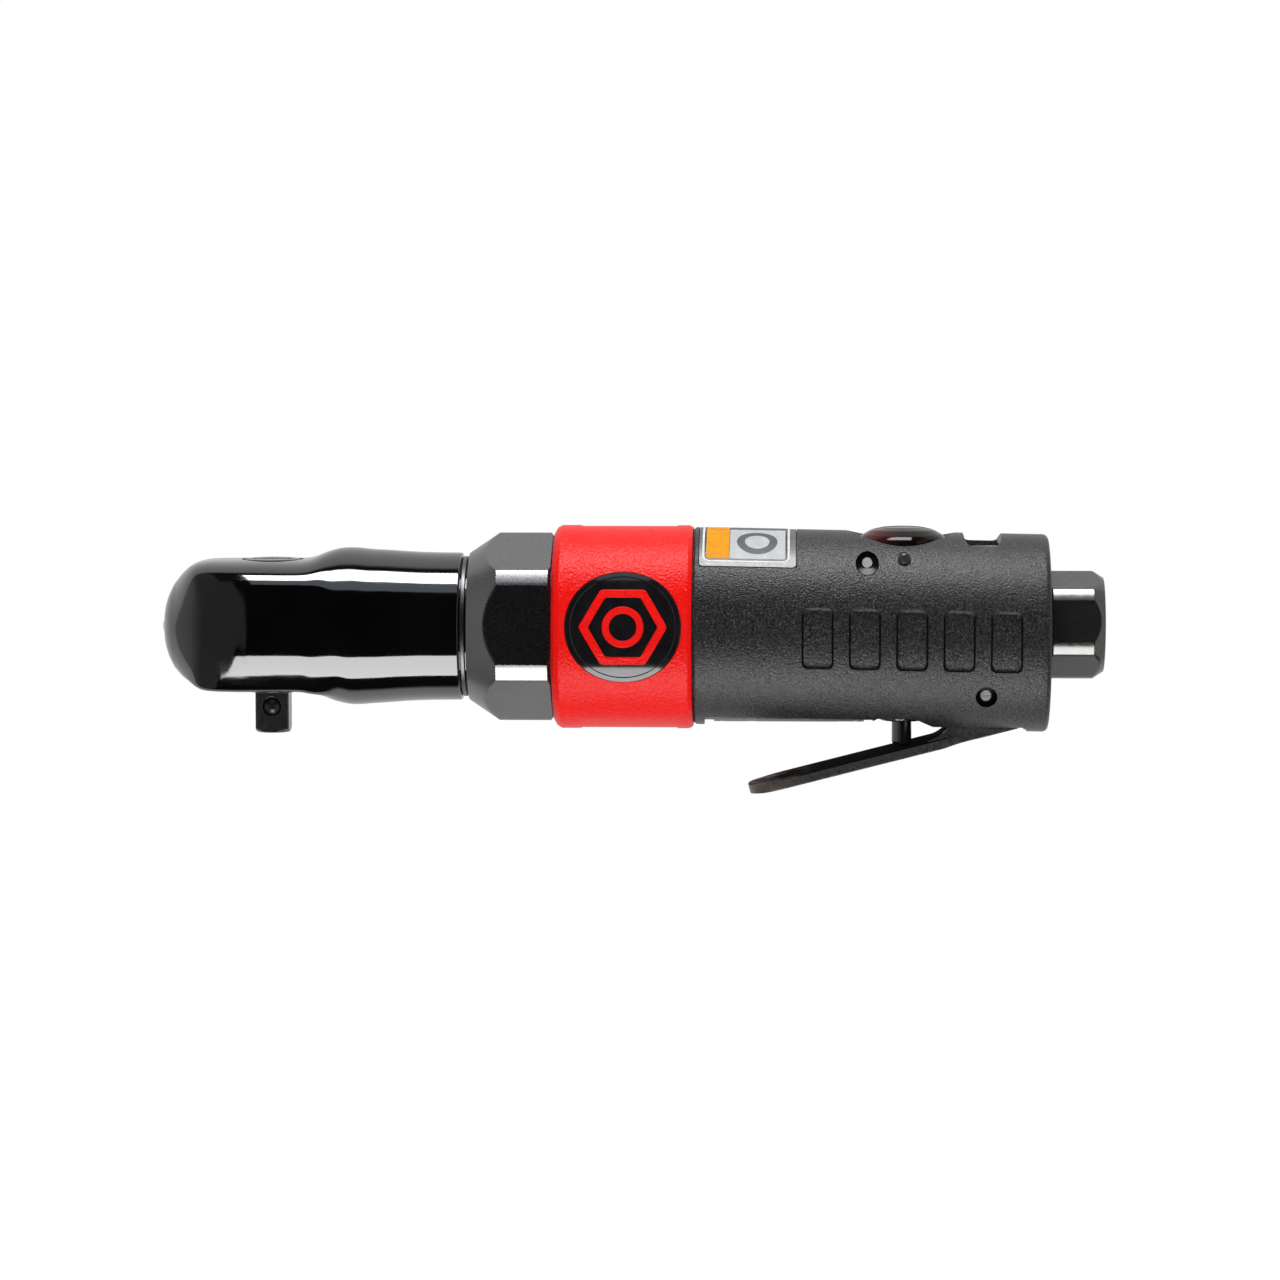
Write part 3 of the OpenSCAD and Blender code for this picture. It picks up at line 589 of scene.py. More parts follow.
M_ANVIL = m_steel("anvil_dark_steel", (0.055, 0.055, 0.058), 0.16, grain=(1, 1, 0.25), metallic=0.7, spread=0.06, edges=0.2)


def place(ob, node=None, body=None, mat=None, replaces=True, slot=None):
    body = body or NODE_BODY[node]
    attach(ob, body)
    s = slot or SLOT[node]
    ob.data.materials.clear()
    ob.data.materials.append(mat or MATS[s])
    if replaces and node:
        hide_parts(node)
    return ob


# ---------------------------------------------------------------- ratchet head
HX = np.array([-20.4, -20.25, -20.05, -19.5, -18.6, -17.0, -15.5, -14.0, -12.0, -9.5, -6.0, -3.0, 0.0, 2.5, 4.5, 6.0, 7.3, 8.8, 10.3, 11.8, 13.4, 15.0, 16.5, 19.4, 22.5, 25.5, 29.0, 32.0, 35.3])
HT = np.array([3.3, 4.2, 5.0, 6.5, 8.2, 10.2, 11.55, 12.25, 12.6, 12.7, 12.72, 12.74, 12.74, 12.72, 12.72, 12.76, 12.92, 13.45, 14.1, 14.6, 14.92, 15.0, 14.97, 14.65, 14.5, 14.28, 14.12, 14.05, 14.0])
HB = np.array([3.3, 4.1, 4.9, 6.4, 8.1, 9.9, 10.72, 11.36, 11.82, 11.98, 12.0, 12.0, 11.98, 11.94, 11.9, 11.95, 12.15, 12.7, 13.45, 14.2, 14.65, 14.95, 14.97, 14.75, 14.5, 14.28, 14.12, 14.05, 14.0])
HW = np.array([3.3, 4.2, 5.0, 6.6, 8.3, 10.3, 11.75, 12.75, 13.45, 13.9, 14.33, 14.59, 14.7, 14.75, 14.8, 14.85, 14.9, 14.95, 15.0, 15.0, 15.0, 15.0, 14.97, 14.72, 14.5, 14.28, 14.12, 14.05, 14.0])


def low_section():
    """Lower quarter of the head's section at half width 14.7 and half height 12: round cheek, chamfer, flat under the drive."""
    p = [(14.7, 0.0)]
    for q in np.radians(np.linspace(0.0, 36.5, 16)):
        p.append((14.7 - 13.0 * (1 - math.cos(q)), 0.475 + 13.0 * math.sin(q)))
    y, z = p[-1]
    k = 3.0 / (math.sin(math.radians(40)) - math.sin(math.radians(36.5)))
    for q in np.radians(np.linspace(37.0, 40.0, 6)):
        p.append((y - k * (math.cos(math.radians(36.5)) - math.cos(q)), z + k * (math.sin(q) - math.sin(math.radians(36.5)))))
    y, z = p[-1]
    k = (12.0 - z) / (1 - math.sin(math.radians(40)))
    for q in np.radians(np.linspace(43.0, 90.0, 14)):
        p.append((y - k * (math.cos(math.radians(40)) - math.cos(q)), z + k * (math.sin(q) - math.sin(math.radians(40)))))
    p.append((0.0, 12.0))
    p = np.array(p) / np.array([14.7, 12.0])
    ang = np.arctan2(p[:, 1], p[:, 0])
    fine = np.linspace(0, PI / 2, 400)
    # straight pieces between the points, so the radius follows the chord and not a straight line in angle
    seg = np.clip(np.searchsorted(ang, fine, side="right") - 1, 0, len(p) - 2)
    a, b = p[seg], p[seg + 1]
    d = np.stack([np.cos(fine), np.sin(fine)], 1)
    den = d[:, 0] * (b - a)[:, 1] - d[:, 1] * (b - a)[:, 0]
    rad = (a[:, 0] * (b - a)[:, 1] - a[:, 1] * (b - a)[:, 0]) / den
    return fine, np.convolve(np.pad(rad, 4, mode="edge"), np.ones(9) / 9, "valid")


LOW_A, LOW_R = low_section()


def head_r(x, th):
    def soft(tab):
        s = np.zeros_like(x)
        for d, w in ((-0.6, 0.25), (0.0, 0.5), (0.6, 0.25)):
            s = s + w * np.interp(np.clip(x + d * smooth01(-19.5, -16.0, x), -20.4, 35.3), HX, tab)
        return s
    T, B, W = soft(HT), soft(HB), soft(HW)
    c, s = np.cos(th), np.sin(th)
    H = np.where(c > 0, T, B)
    e = 2.0 + np.where(c > 0, 1.4, 0.0) * smooth01(14.0, 5.0, x) * smooth01(-18.5, -13.0, x)
    r = (np.abs(s / W) ** e + np.abs(c / H) ** e) ** (-1.0 / e)
    low = np.interp(np.arctan2(np.abs(c / H), np.abs(s / W)), LOW_A, LOW_R) / np.hypot(s / W, c / H)
    w = np.where(c < 0, 1.0, 0.0) * smooth01(13.5, 7.0, x) * smooth01(-18.5, -12.5, x)
    r = r * (1 - w) + low * w
    # slow unevenness of a hand-finished forging
    w = np.sin(0.42 * x + 2.2 * th) + 0.8 * np.sin(0.71 * x - 1.7 * np.sin(th) + 1.3) + 0.5 * np.sin(1.15 * x + 3.0 * th + 0.4)
    return r - 0.009 * (w + 2.3) * smooth01(-14.0, -4.0, x) * smooth01(35.0, 31.0, x)


def head():
    xs = [-20.4, -20.36, -20.25, -20.05, -19.8, -19.5, -19.1] + list(np.arange(-18.6, 35.3, 0.42))
    prof = [(-20.4, 0.0), (-20.4, 1.2), (-20.4, 2.4)] + [(x, 1.0) for x in xs]
    k0 = 3
    tail = fillet([(35.3, 14.0), (36.3, 14.0, 0.9), (36.3, 12.5), (46.0, 12.5, 0.4), (46.0, 11.0, 0.3), (20.6, 11.0)], seg=6)[1:]
    n_head = len(prof)
    prof = prof + tail + [(20.6, 0.0)]
    lim = n_head

    def disp(X, R, T, I):
        r = head_r(X, T)
        R2 = np.where((I >= k0) & (I < lim), r, R)
        return X, R2
    o = revolve("ratchet_head", prof, n=176, disp=disp, smooth=32)
    cav = prism("c1", rrect(-9.8, 22, -9.8, 9.8, 9.7, 16), -4.4, 4.4, "xy")
    low = revolve("c2", [(-16, 0), (-16, 8.6), (-11.4, 8.6), (-11.4, 9.2), (-10.5, 9.2), (-10.5, 8.6), (-4.0, 8.6), (-4.0, 0)], n=96, axis="z")
    top = revolve("c3", [(3.9, 0), (3.9, 5.36), (8.75, 5.36), (8.75, 5.85), (16, 5.85), (16, 0)], n=96, axis="z")
    nose = revolve("c4", [(-22, 0), (-22, 1.52), (-9, 1.52), (-9, 0)], n=48)
    groove = revolve("c5", [(44.5, 12.1), (44.5, 14), (45.9, 14), (45.9, 12.1)], n=96, closed=True)
    cut(o, [cav, low, top, nose, groove])
    tidy(o)
    shade(o, 32)
    return place(o, "ratchet_housing")


head()
place(revolve("nose_plug", fillet([(-20.99, 0.0), (-20.98, 0.45, 0.3), (-20.62, 1.75, 1.2), (-20.38, 2.45, 0.05), (-20.33, 2.3), (-20.33, 1.5), (-12.6, 1.5, 0.2), (-12.6, 0.0)]), n=64), "grease_plug")
place(revolve("bright_neck_ring", fillet([(36.4, 12.52), (36.4, 13.3, 0.25), (37.35, 13.3, 0.25), (37.35, 12.52)], closed=True), n=160, closed=True), "neck_ring", mat=m_steel("neck_ring_steel", (0.17, 0.168, 0.172), 0.36, grain=(1, 0.2, 0.2), scale=3000, spread=0.08, bump=0.15, edges=0.12))


def selector():
    o = revolve("reverse_selector", fillet([(8.9, 0.0), (8.9, 5.75, 0.2), (12.3, 5.75, 0.2), (12.8, 5.0, 0.3), (12.8, 0.0)]), n=128, axis="z", smooth=25)
    slot_cut = prism("s1", rrect(-3.7, 3.7, -0.95, 0.95, 0.94), 11.8, 14, "xy")
    dim = revolve("s2", [(12.4, 0.0), (12.4, 0.55), (13.0, 1.0), (13.0, 0.0)], n=32, axis="z", centre=(0.0, 4.2))
    stem = revolve("s3", [(-3.2, 0.0), (-3.2, 1.5), (-2.9, 1.8), (8.95, 1.8), (8.95, 0.0)], n=48, axis="z")
    cut(o, [slot_cut, dim])
    cut(o, [stem], op="UNION")
    hole = revolve("s4", [(-0.9, 0.0), (-0.9, 0.85), (3, 0.85), (3, 0.0)], n=32)
    cut(o, [hole])
    bevel(o, 0.12, 2, 40)
    return place(o, "reverse_knob", mat=M_ANVIL)


selector()


# ---------------------------------------------------------------- anvil with its square drive
def anvil():
    h = 6.35 / 2
    sq = prism("square_drive_anvil", fillet([(-h, -h, 0.42), (h, -h, 0.42), (h, h, 0.42), (-h, h, 0.42)], closed=True, seg=4), -20.2, -11.6, "xy")
    # end chamfer: the lowest ring of points pulls in
    env = revolve("a0", [(-20.2, 0.0), (-20.2, 3.15), (-19.35, 4.35), (-13.4, 4.42), (-12.9, 4.75), (-11.0, 4.75), (-11.0, 0.0)], n=96, axis="z")
    cut(sq, [env], op="INTERSECT")
    jour = revolve("a1", fillet([(-12.5, 0.0), (-12.5, 5.3, 0.5), (-4.2, 5.3, 0.2), (-4.2, 6.3, 0.2), (4.2, 6.3, 0.2), (4.2, 5.3, 0.2), (8.5, 5.3, 0.4), (8.5, 0.0)]), n=96, axis="z")
    cut(sq, [jour], op="UNION")
    bore = revolve("a2", [(-3.5, 0.0), (-3.5, 1.9), (9, 1.9), (9, 0.0)], n=48, axis="z")
    pocket = prism("a3", [(2.7, -5.4), (8, -5.4), (8, 5.4), (2.7, 5.4)], -3.1, 3.1, "xy")
    win = prism("a4", [(0, -2.0), (3, -2.0), (3, 2.0), (0, 2.0)], -1.1, 1.1, "xy")
    pin = revolve("a5", [(-3.9, 0.0), (-3.9, 0.9), (3.9, 0.9), (3.9, 0.0)], n=32, axis="z", centre=(4.2, 0.0))
    cut(sq, [bore, pocket, win, pin])
    # detent bore along Y, with a small lead at the mouth
    y = [(-3.4, 0.0), (-3.4, 2.05), (-3.1, 1.8), (1.25, 1.8), (1.25, 0.0)]
    t = np.linspace(0, 2 * PI, 48, endpoint=False)
    v, f = [], []
    for a, r in y:
        for q in t:
            v.append((r * math.cos(q), a, -15.2 + r * math.sin(q)))
    for i in range(len(y) - 1):
        for j in range(48):
            f.append((i * 48 + j, (i + 1) * 48 + j, (i + 1) * 48 + (j + 1) % 48, i * 48 + (j + 1) % 48))
    det = mesh_from("a6", v, f, merge=0.0005)
    cut(sq, [det])
    tidy(sq)
    bevel(sq, 0.14, 2, 35)
    return place(sq, "anvil", mat=M_ANVIL)


anvil()


# ---------------------------------------------------------------- springs
def coil_spring(name, node, cr, wr, z0, z1, turns, ease, to):
    """Round wire on a helix, its end turns a little closer; `to` turns a point of the spring into one of the tool."""
    n, k = int(44 * turns), 14
    v, f = [], []
    rows = [(0.0, 0.55), (0.0, 0.9)] + [(i / n, 1.0) for i in range(n + 1)] + [(1.0, 0.9), (1.0, 0.55)]
    push = [-0.30, -0.15] + [0.0] * (n + 1) + [0.15, 0.30]
    for (q, w), p in zip(rows, push):
        a = 2 * PI * turns * q + p * wr / cr
        z = z0 + (z1 - z0) * (q - ease * math.sin(2 * PI * q) / (2 * PI))
        for j in range(k):
            b = 2 * PI * j / k
            r = cr + w * wr * math.cos(b)
            v.append(to(r * math.cos(a), r * math.sin(a), z + w * wr * math.sin(b)))
    m = len(rows)
    for i in range(m - 1):
        for j in range(k):
            f.append((i * k + j, (i + 1) * k + j, (i + 1) * k + (j + 1) % k, i * k + (j + 1) % k))
    f.append(tuple(range(k)))
    f.append(tuple(reversed(range((m - 1) * k, m * k))))
    return place(mesh_from(name, v, f, smooth=40), node)


spring = coil_spring("valve_return_coil", "valve_spring", 2.6, 0.4, -3.05, 3.55, 5, 0.28, lambda x, y, z: (VALVE_X + x, y, z))
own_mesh(spring)
spring = coil_spring("detent_coil", "detent_spring", 1.15, 0.18, -0.42, 1.0, 3, 0.15, lambda x, y, z: (x, z, -15.2 - y))
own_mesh(spring)


# ---------------------------------------------------------------- clamp nut
NUT_TURN = math.radians(5.5)


def clamp_nut():
    ap = 16.2
    outer = fillet([(37.6, 13.1), (37.6, 13.95, 0.35), (43.35, 17.83, 0.35), (53.1, 17.83, 0.2), (53.5, 17.3, 0.2), (53.5, 15.0)], seg=5)
    outer = densify(outer, 0.26)
    k = len(outer)
    inner = [(53.5, 15.0), (53.2, 14.8), (43.5, 14.8), (43.5, 12.7), (37.75, 12.7), (37.6, 12.85)]
    prof = outer + inner[1:]

    def disp(X, R, T, I):
        # one flat faces the front, a little upwards, and its neighbours follow every 60 degrees
        a = (T - PI / 2 - NUT_TURN + PI / 6) % (PI / 3) - PI / 6
        flat = ap / np.cos(a)
        R2 = np.where(I < k - 2, smin(R, flat, 0.10), R)
        return X, R2
    th = []
    for s in range(6):
        c = PI / 2 + NUT_TURN + s * PI / 3
        edge = math.acos(ap / 17.83)
        for q in np.concatenate([np.linspace(-edge, edge, 30), np.linspace(edge, PI / 3 - edge, 9)[1:-1]]):
            th.append((c + q) % (2 * PI))
    o = revolve("hex_clamp_nut", prof, closed=True, disp=disp, thetas=sorted(th), smooth=16)
    return place(o, "clamp_nut")


clamp_nut()


# ---------------------------------------------------------------- red band with its badge
def band():
    prof = fillet([(53.8, 15.2), (53.8, 17.75, 0.25), (54.35, 18.75, 0.5), (55.2, 19.29, 0.8), (58.8, 19.29), (59.1, 19.12), (76.9, 19.12), (77.2, 19.29), (79.3, 19.29, 0.3), (80.1, 18.9, 0.35), (80.1, 16.05), (54.6, 16.05), (54.6, 15.2)], closed=True, seg=5)
    prof = densify(prof, 1.3, closed=True)

    def disp(X, R, T, I):
        # two shallow relief flats on top and below, between the end lips
        top = smooth01(math.radians(34), math.radians(22), np.abs((T + PI) % (2 * PI) - PI))
        bot = smooth01(math.radians(34), math.radians(22), np.abs(T - PI))
        lip = smooth01(58.6, 59.3, X) * smooth01(77.3, 76.7, X)
        full = np.where(R > 18.9, 1.0, 0.0)
        side = 1 - np.maximum(top, bot)
        return X, np.minimum(R + full * lip * side * 0.16, 19.285)
    o = revolve("red_band", prof, n=224, closed=True, disp=disp, smooth=30)
    seat = badge_solid("b1", 10.92, 18.75, 21.0, 72, 6)
    cut(o, [seat])
    tidy(o)
    shade(o, 30)
    return place(o, "color_band")


BADGE_X, BADGE_A, BADGE_R = 67.3, math.radians(4.4), 19.3


def wrap(u, v, r, x0=BADGE_X, a0=BADGE_A):
    """Point at u along X and v along the rim of the band, on the side towards -Y."""
    a = a0 + v / BADGE_R
    return (x0 + u, -r * math.cos(a), r * math.sin(a))


def badge_solid(name, rad, r0, r1, n=96, rings=8, edge=0.0, outline=None, smooth=28):
    """Closed disc, or any star-shaped outline, wrapped on the band between radii r0 and r1."""
    out = outline or [(rad * math.cos(2 * PI * i / n), rad * math.sin(2 * PI * i / n)) for i in range(n)]
    n = len(out)
    v, f = [], []
    levels = [(k / rings, r1) for k in range(1, rings + 1)]
    if edge:
        rad = max(math.hypot(*p) for p in out)
        levels = [(k / rings * (1 - edge / rad), r1) for k in range(1, rings + 1)] + [(1 - 0.3 * edge / rad, r1 - edge * 0.3), (1.0, r1 - edge)]
    lower = [(s, r0) for s, _ in reversed(levels)]
    if edge:
        lower = [(1.0, r0)] + [(k / rings * (1 - edge / rad), r0) for k in range(rings, 0, -1)]
    v.append(wrap(0, 0, r1))
    for s, r in levels + lower:
        for a, b in out:
            v.append(wrap(a * s, b * s, r))
    v.append(wrap(0, 0, r0))
    m = len(levels) + len(lower)
    for j in range(n):
        f.append((0, 1 + j, 1 + (j + 1) % n))
        last = 1 + (m - 1) * n
        f.append((len(v) - 1, last + (j + 1) % n, last + j))
    for i in range(m - 1):
        a0, b0 = 1 + i * n, 1 + (i + 1) * n
        for j in range(n):
            f.append((a0 + j, b0 + j, b0 + (j + 1) % n, a0 + (j + 1) % n))
    return mesh_from(name, v, f, smooth=smooth)


def ring_solid(name, outer, inner, r0, r1, bev=0.08):
    """Closed ring between two outlines of equal length, wrapped on the band."""
    n = len(outer)
    o, i = np.array(outer), np.array(inner)
    mid = (o + i) / 2

    def shrink(p, d):
        w = mid - p
        return p + w / np.maximum(np.linalg.norm(w, axis=1), 1e-6)[:, None] * d
    rows = [(o, r0), (o, r1 - bev), (shrink(o, bev), r1), (mid, r1), (shrink(i, bev), r1), (i, r1 - bev), (i, r0), (mid, r0)]
    v = [wrap(p[0], p[1], r) for row, r in rows for p in row]
    f = []
    for k in range(len(rows)):
        a0, b0 = k * n, ((k + 1) % len(rows)) * n
        for j in range(n):
            f.append((a0 + j, b0 + j, b0 + (j + 1) % n, a0 + (j + 1) % n))
    return mesh_from(name, v, f, smooth=30)


def hexagon(rad, corner, turn=0.0, seg=8):
    pts = [(rad * math.cos(turn + k * PI / 3), rad * math.sin(turn + k * PI / 3), corner) for k in range(6)]
    return densify(fillet(pts, closed=True, seg=seg), 0.7, closed=True)


def circle(rad, n):
    return [(rad * math.cos(2 * PI * k / n), rad * math.sin(2 * PI * k / n)) for k in range(n)]


def match(outline, n):
    """Resamples a closed outline at n even steps of angle."""
    p = np.array(outline + outline[:1])
    out = []
    for k in range(n):
        a = 2 * PI * k / n
        d = np.array([math.cos(a), math.sin(a)])
        best = None
        for q in range(len(p) - 1):
            e = p[q + 1] - p[q]
            den = d[0] * e[1] - d[1] * e[0]
            if abs(den) < 1e-12:
                continue
            s = (p[q][0] * e[1] - p[q][1] * e[0]) / den
            w = (p[q][0] * d[1] - p[q][1] * d[0]) / den
            if s > 0 and -1e-9 <= w <= 1 + 1e-9:
                best = s if best is None else max(best, s)
        out.append((d[0] * best, d[1] * best))
    return out


band()
place(badge_solid("badge_disc", 10.85, 18.78, 19.22, 144, 12, edge=0.18), "band_badge")
place(ring_solid("badge_rim", circle(10.85, 144), circle(9.75, 144), 19.05, 19.37, 0.12), "band_badge", replaces=False, slot="badge_black")
N_E = 144
place(ring_solid("badge_hex_emblem", match(hexagon(8.3, 0.9), N_E), match(hexagon(6.5, 0.6), N_E), 19.0, 19.34, 0.10), "band_badge", mat=M_RED, replaces=False, slot="red_plastic")
place(ring_solid("badge_inner_ring", circle(3.9, 72), circle(2.55, 72), 19.0, 19.34, 0.10), "band_badge", mat=M_RED, replaces=False, slot="red_plastic")


# ---------------------------------------------------------------- grip shell


def shell_z(x):
    return 0.25 - (x - 80.2) * math.tan(TILT)


def grip_shell():
    lab0, lab1 = 81.25, 99.6
    a_lab = math.radians(48.9)
    rec_x = [80.2 + 23.35 + i * 8.79 for i in range(5)]
    xs = [80.2, 80.22, 80.28, 80.4, 80.6, 80.9]
    brk = set()
    for x in (lab0, lab1):
        brk |= {round(x - 0.05, 3), round(x + 0.05, 3)}
    for c in rec_x:
        for d in (-3.1, -2.98, -2.9, -2.81, -2.72, -2.64, -2.4, 2.4, 2.64, 2.72, 2.81, 2.9, 2.98, 3.1):
            brk.add(round(c + d, 3))
    xs += [x for x in np.arange(81.0, 145.0, 0.55) if all(abs(x - b) > 0.09 for b in brk)] + sorted(brk)
    xs = sorted(set(round(float(x), 3) for x in xs if x < 144.9))
    end = fillet([(144.9, SHELL_R), (147.1, SHELL_R, 1.9), (147.1, 8.8), ], seg=10)
    prof = [(80.2, 16.05), (80.2, SHELL_R - 0.35)] + [(x, 1.0) for x in xs[1:]] + end[1:] + [(147.1, 8.8), (145.9, 8.8), (145.9, 16.05)]
    n_rows = len(prof)
    first, last = 2, 2 + len(xs) - 1

    ths = theta_list(256, [a_lab - 0.003, a_lab + 0.003, -a_lab - 0.003, -a_lab + 0.003])
    # denser where the side recesses begin and end
    extra = []
    for zz in (5.30, 5.2, 5.12, 5.04, 4.95, 4.7, -5.6, -5.85, -5.94, -6.02, -6.1, -6.2):
        a = math.acos(zz / SHELL_R)
        extra += [a, 2 * PI - a]
    ths = sorted(set([t for t in ths if all(abs(t - e) > 0.006 for e in extra)] + extra))

    def disp(X, R, T, I):
        on = (I >= first) & (I < last)
        r = np.full_like(R, SHELL_R)
        r = r - 0.35 * (1 - smooth01(80.2, 80.75, X))
        c, s = np.cos(T), np.sin(T)
        # shallow recesses along both sides
        zz = r * c
        for cx in rec_x:
            sd = sd_rrect(X - cx, zz + 0.45, 2.84, 5.6, 1.1)
            r = r - 0.58 * smooth01(0.13, -0.19, sd) * (np.abs(s) > 0.7)
        # label seat over the top
        th = (T + PI) % (2 * PI) - PI
        inl = (X > lab0) & (X < lab1) & (np.abs(th) < a_lab)
        r = np.where(inl, np.minimum(r, SHELL_R - 0.26), r)
        return X, np.where(on, r, R)

    # outer rows follow the drooping axis, inner rows the tool axis
    o = revolve("composite_grip_shell", prof, closed=True, disp=disp, thetas=ths, smooth=24)
    me = o.data
    co = np.empty(len(me.vertices) * 3)
    me.vertices.foreach_get("co", co)
    co = co.reshape(-1, 3)
    rr = np.hypot(co[:, 1], co[:, 2] - AXIS_Z / 1000) * 1000
    xx = co[:, 0] * 1000
    move = np.where(rr > 16.6, 1.0, 0.0)
    rear = (rr < 9.5)
    dz = np.where(rear, 0.6, move * (0.25 - (xx - 80.2) * math.tan(TILT)))
    co[:, 2] += dz / 1000
    me.vertices.foreach_set("co", co.reshape(-1))
    me.update()

    tools = [
        under_solid("g1", 82.2, 114.0, 17.6, 25.0, 28.5, 0.0),
        prism("g2", fillet([(113.0, -25), (113.0, -17.5), (113.9, -17.1, 0.3), (114.9, -16.5, 0.4), (121.9, -16.5, 0.5), (125.6, -18.5, 0.6), (126.2, -25)], closed=True), -20, 20, "xz"),
        prism("g3", [(124.9, -20), (142.4, -20), (142.4, 20), (124.9, 20)], -25, -18.4, "xy"),
        prism("g4", rrect(121.5, 143.2, -5.7, 5.7, 1.2), -25, -8, "xy"),
        revolve("g5", [(-20, 0.0), (-20, 4.6), (-14, 4.6), (-14, 0.0)], n=64, axis="z", centre=(VALVE_X, 0.0)),
        revolve("g9", [(11, 0.0), (11, 6.6), (16, 6.6), (16, 0.0)], n=96, axis="z", centre=(VALVE_X, 0.0)),
        revolve("g6", fillet([(15.1, 0.0), (15.1, 8.8, 0.3), (17.05, 8.8, 0.4), (17.3, 9.3, 0.8), (19.9, 13.2), (19.9, 0.0)]), n=128, axis="z", centre=(VALVE_X, 0.0)),
        prism("g7", rrect(131.6, 137.6, -8.2, 8.2, 0.9), 8, 25, "xy"),
        prism("g8", fillet([(130.5, 25), (130.8, 18.6), (131.4, 16.35, 0.35), (137.7, 16.35, 0.35), (138.5, 18.4), (138.9, 25)], closed=True), -20, 20, "xz"),
    ]
    for x, z, r in ((112.8, 13.0, 2.15), (135.1, -11.8, 2.0)):
        for sgn in (-1, 1):
            tools.append(y_drill("gd", x, z, r, -25 if sgn < 0 else 8, -8 if sgn < 0 else 25))
    tools.append(y_drill("gp", VALVE_X + 0.1, 13.8, 1.2, -25, -5.5))
    cut(o, tools)
    tidy(o)
    shade(o, 24)
    return place(o, "grip_shell")


def under_solid(name, x0, x1, r0, r1, half, corner, mid=0.0):
    """Closed piece of a tube round the bottom of the grip, about the tool axis; angles in degrees."""
    k = PI / 180 * (r0 + r1) / 2
    rect = densify(rrect(x0, x1, -half * k, half * k, corner, 5) if corner else [(x0, -half * k), (x1, -half * k), (x1, half * k), (x0, half * k)], 0.8, closed=True)
    cx = (x0 + x1) / 2
    n, rings = len(rect), 10
    v = []

    def at(a, b, r):
        q = b / k * PI / 180 + math.radians(mid)
        return (a, -r * math.sin(q), -r * math.cos(q))
    v.append(at(cx, 0, r1))
    for s, r in [(i / rings, r1) for i in range(1, rings + 1)] + [(i / rings, r0) for i in range(rings, 0, -1)]:
        for a, b in rect:
            v.append(at(cx + (a - cx) * s, b * s, r))
    v.append(at(cx, 0, r0))
    f = []
    m = 2 * rings
    for j in range(n):
        f.append((0, 1 + j, 1 + (j + 1) % n))
        last = 1 + (m - 1) * n
        f.append((len(v) - 1, last + (j + 1) % n, last + j))
    for i in range(m - 1):
        a0, b0 = 1 + i * n, 1 + (i + 1) * n
        for j in range(n):
            f.append((a0 + j, b0 + j, b0 + (j + 1) % n, a0 + (j + 1) % n))
    return mesh_from(name, v, f, smooth=30)


def y_drill(name, x, z, r, y0, y1, n=48):
    v, f = [], []
    for y in (y0, y1):
        for k in range(n):
            a = 2 * PI * k / n
            v.append((x + r * math.cos(a), y, z + r * math.sin(a)))
    f = [tuple(range(n)), tuple(range(n, 2 * n))] + [(k, (k + 1) % n, n + (k + 1) % n, n + k) for k in range(n)]
    return mesh_from(name, v, f)


grip_shell()


# ---------------------------------------------------------------- labels
def shell_patch(name, outline, r0, r1, x0=80.2, rings=10, node="upper_label", mat=None, slot="label_silver", replaces=False, centre=(0.0, 0.0)):
    """Closed patch on the shell: outline in (x, arc) about the top line, arc positive towards +Y."""
    n = len(outline)
    v, f = [], []
    cx, cy = centre

    def at(a, b, r):
        x = a
        t = b / SHELL_R
        return (x, r * math.sin(t), r * math.cos(t) + shell_z(x))
    v.append(at(cx, cy, r1))
    for s, r in [(k / rings, r1) for k in range(1, rings + 1)] + [(k / rings, r0) for k in range(rings, 0, -1)]:
        for a, b in outline:
            v.append(at(cx + (a - cx) * s, cy + (b - cy) * s, r))
    v.append(at(cx, cy, r0))
    m = 2 * rings
    for j in range(n):
        f.append((0, 1 + j, 1 + (j + 1) % n))
        last = 1 + (m - 1) * n
        f.append((len(v) - 1, last + (j + 1) % n, last + j))
    for i in range(m - 1):
        a0, b0 = 1 + i * n, 1 + (i + 1) * n
        for j in range(n):
            f.append((a0 + j, b0 + j, b0 + (j + 1) % n, a0 + (j + 1) % n))
    o = mesh_from(name, v, f, smooth=30)
    return place(o, node, mat=mat, replaces=replaces, slot=slot)


def dense_rect(x0, x1, y0, y1, r):
    return densify(rrect(x0, x1, y0, y1, r, 6), 0.9, closed=True)


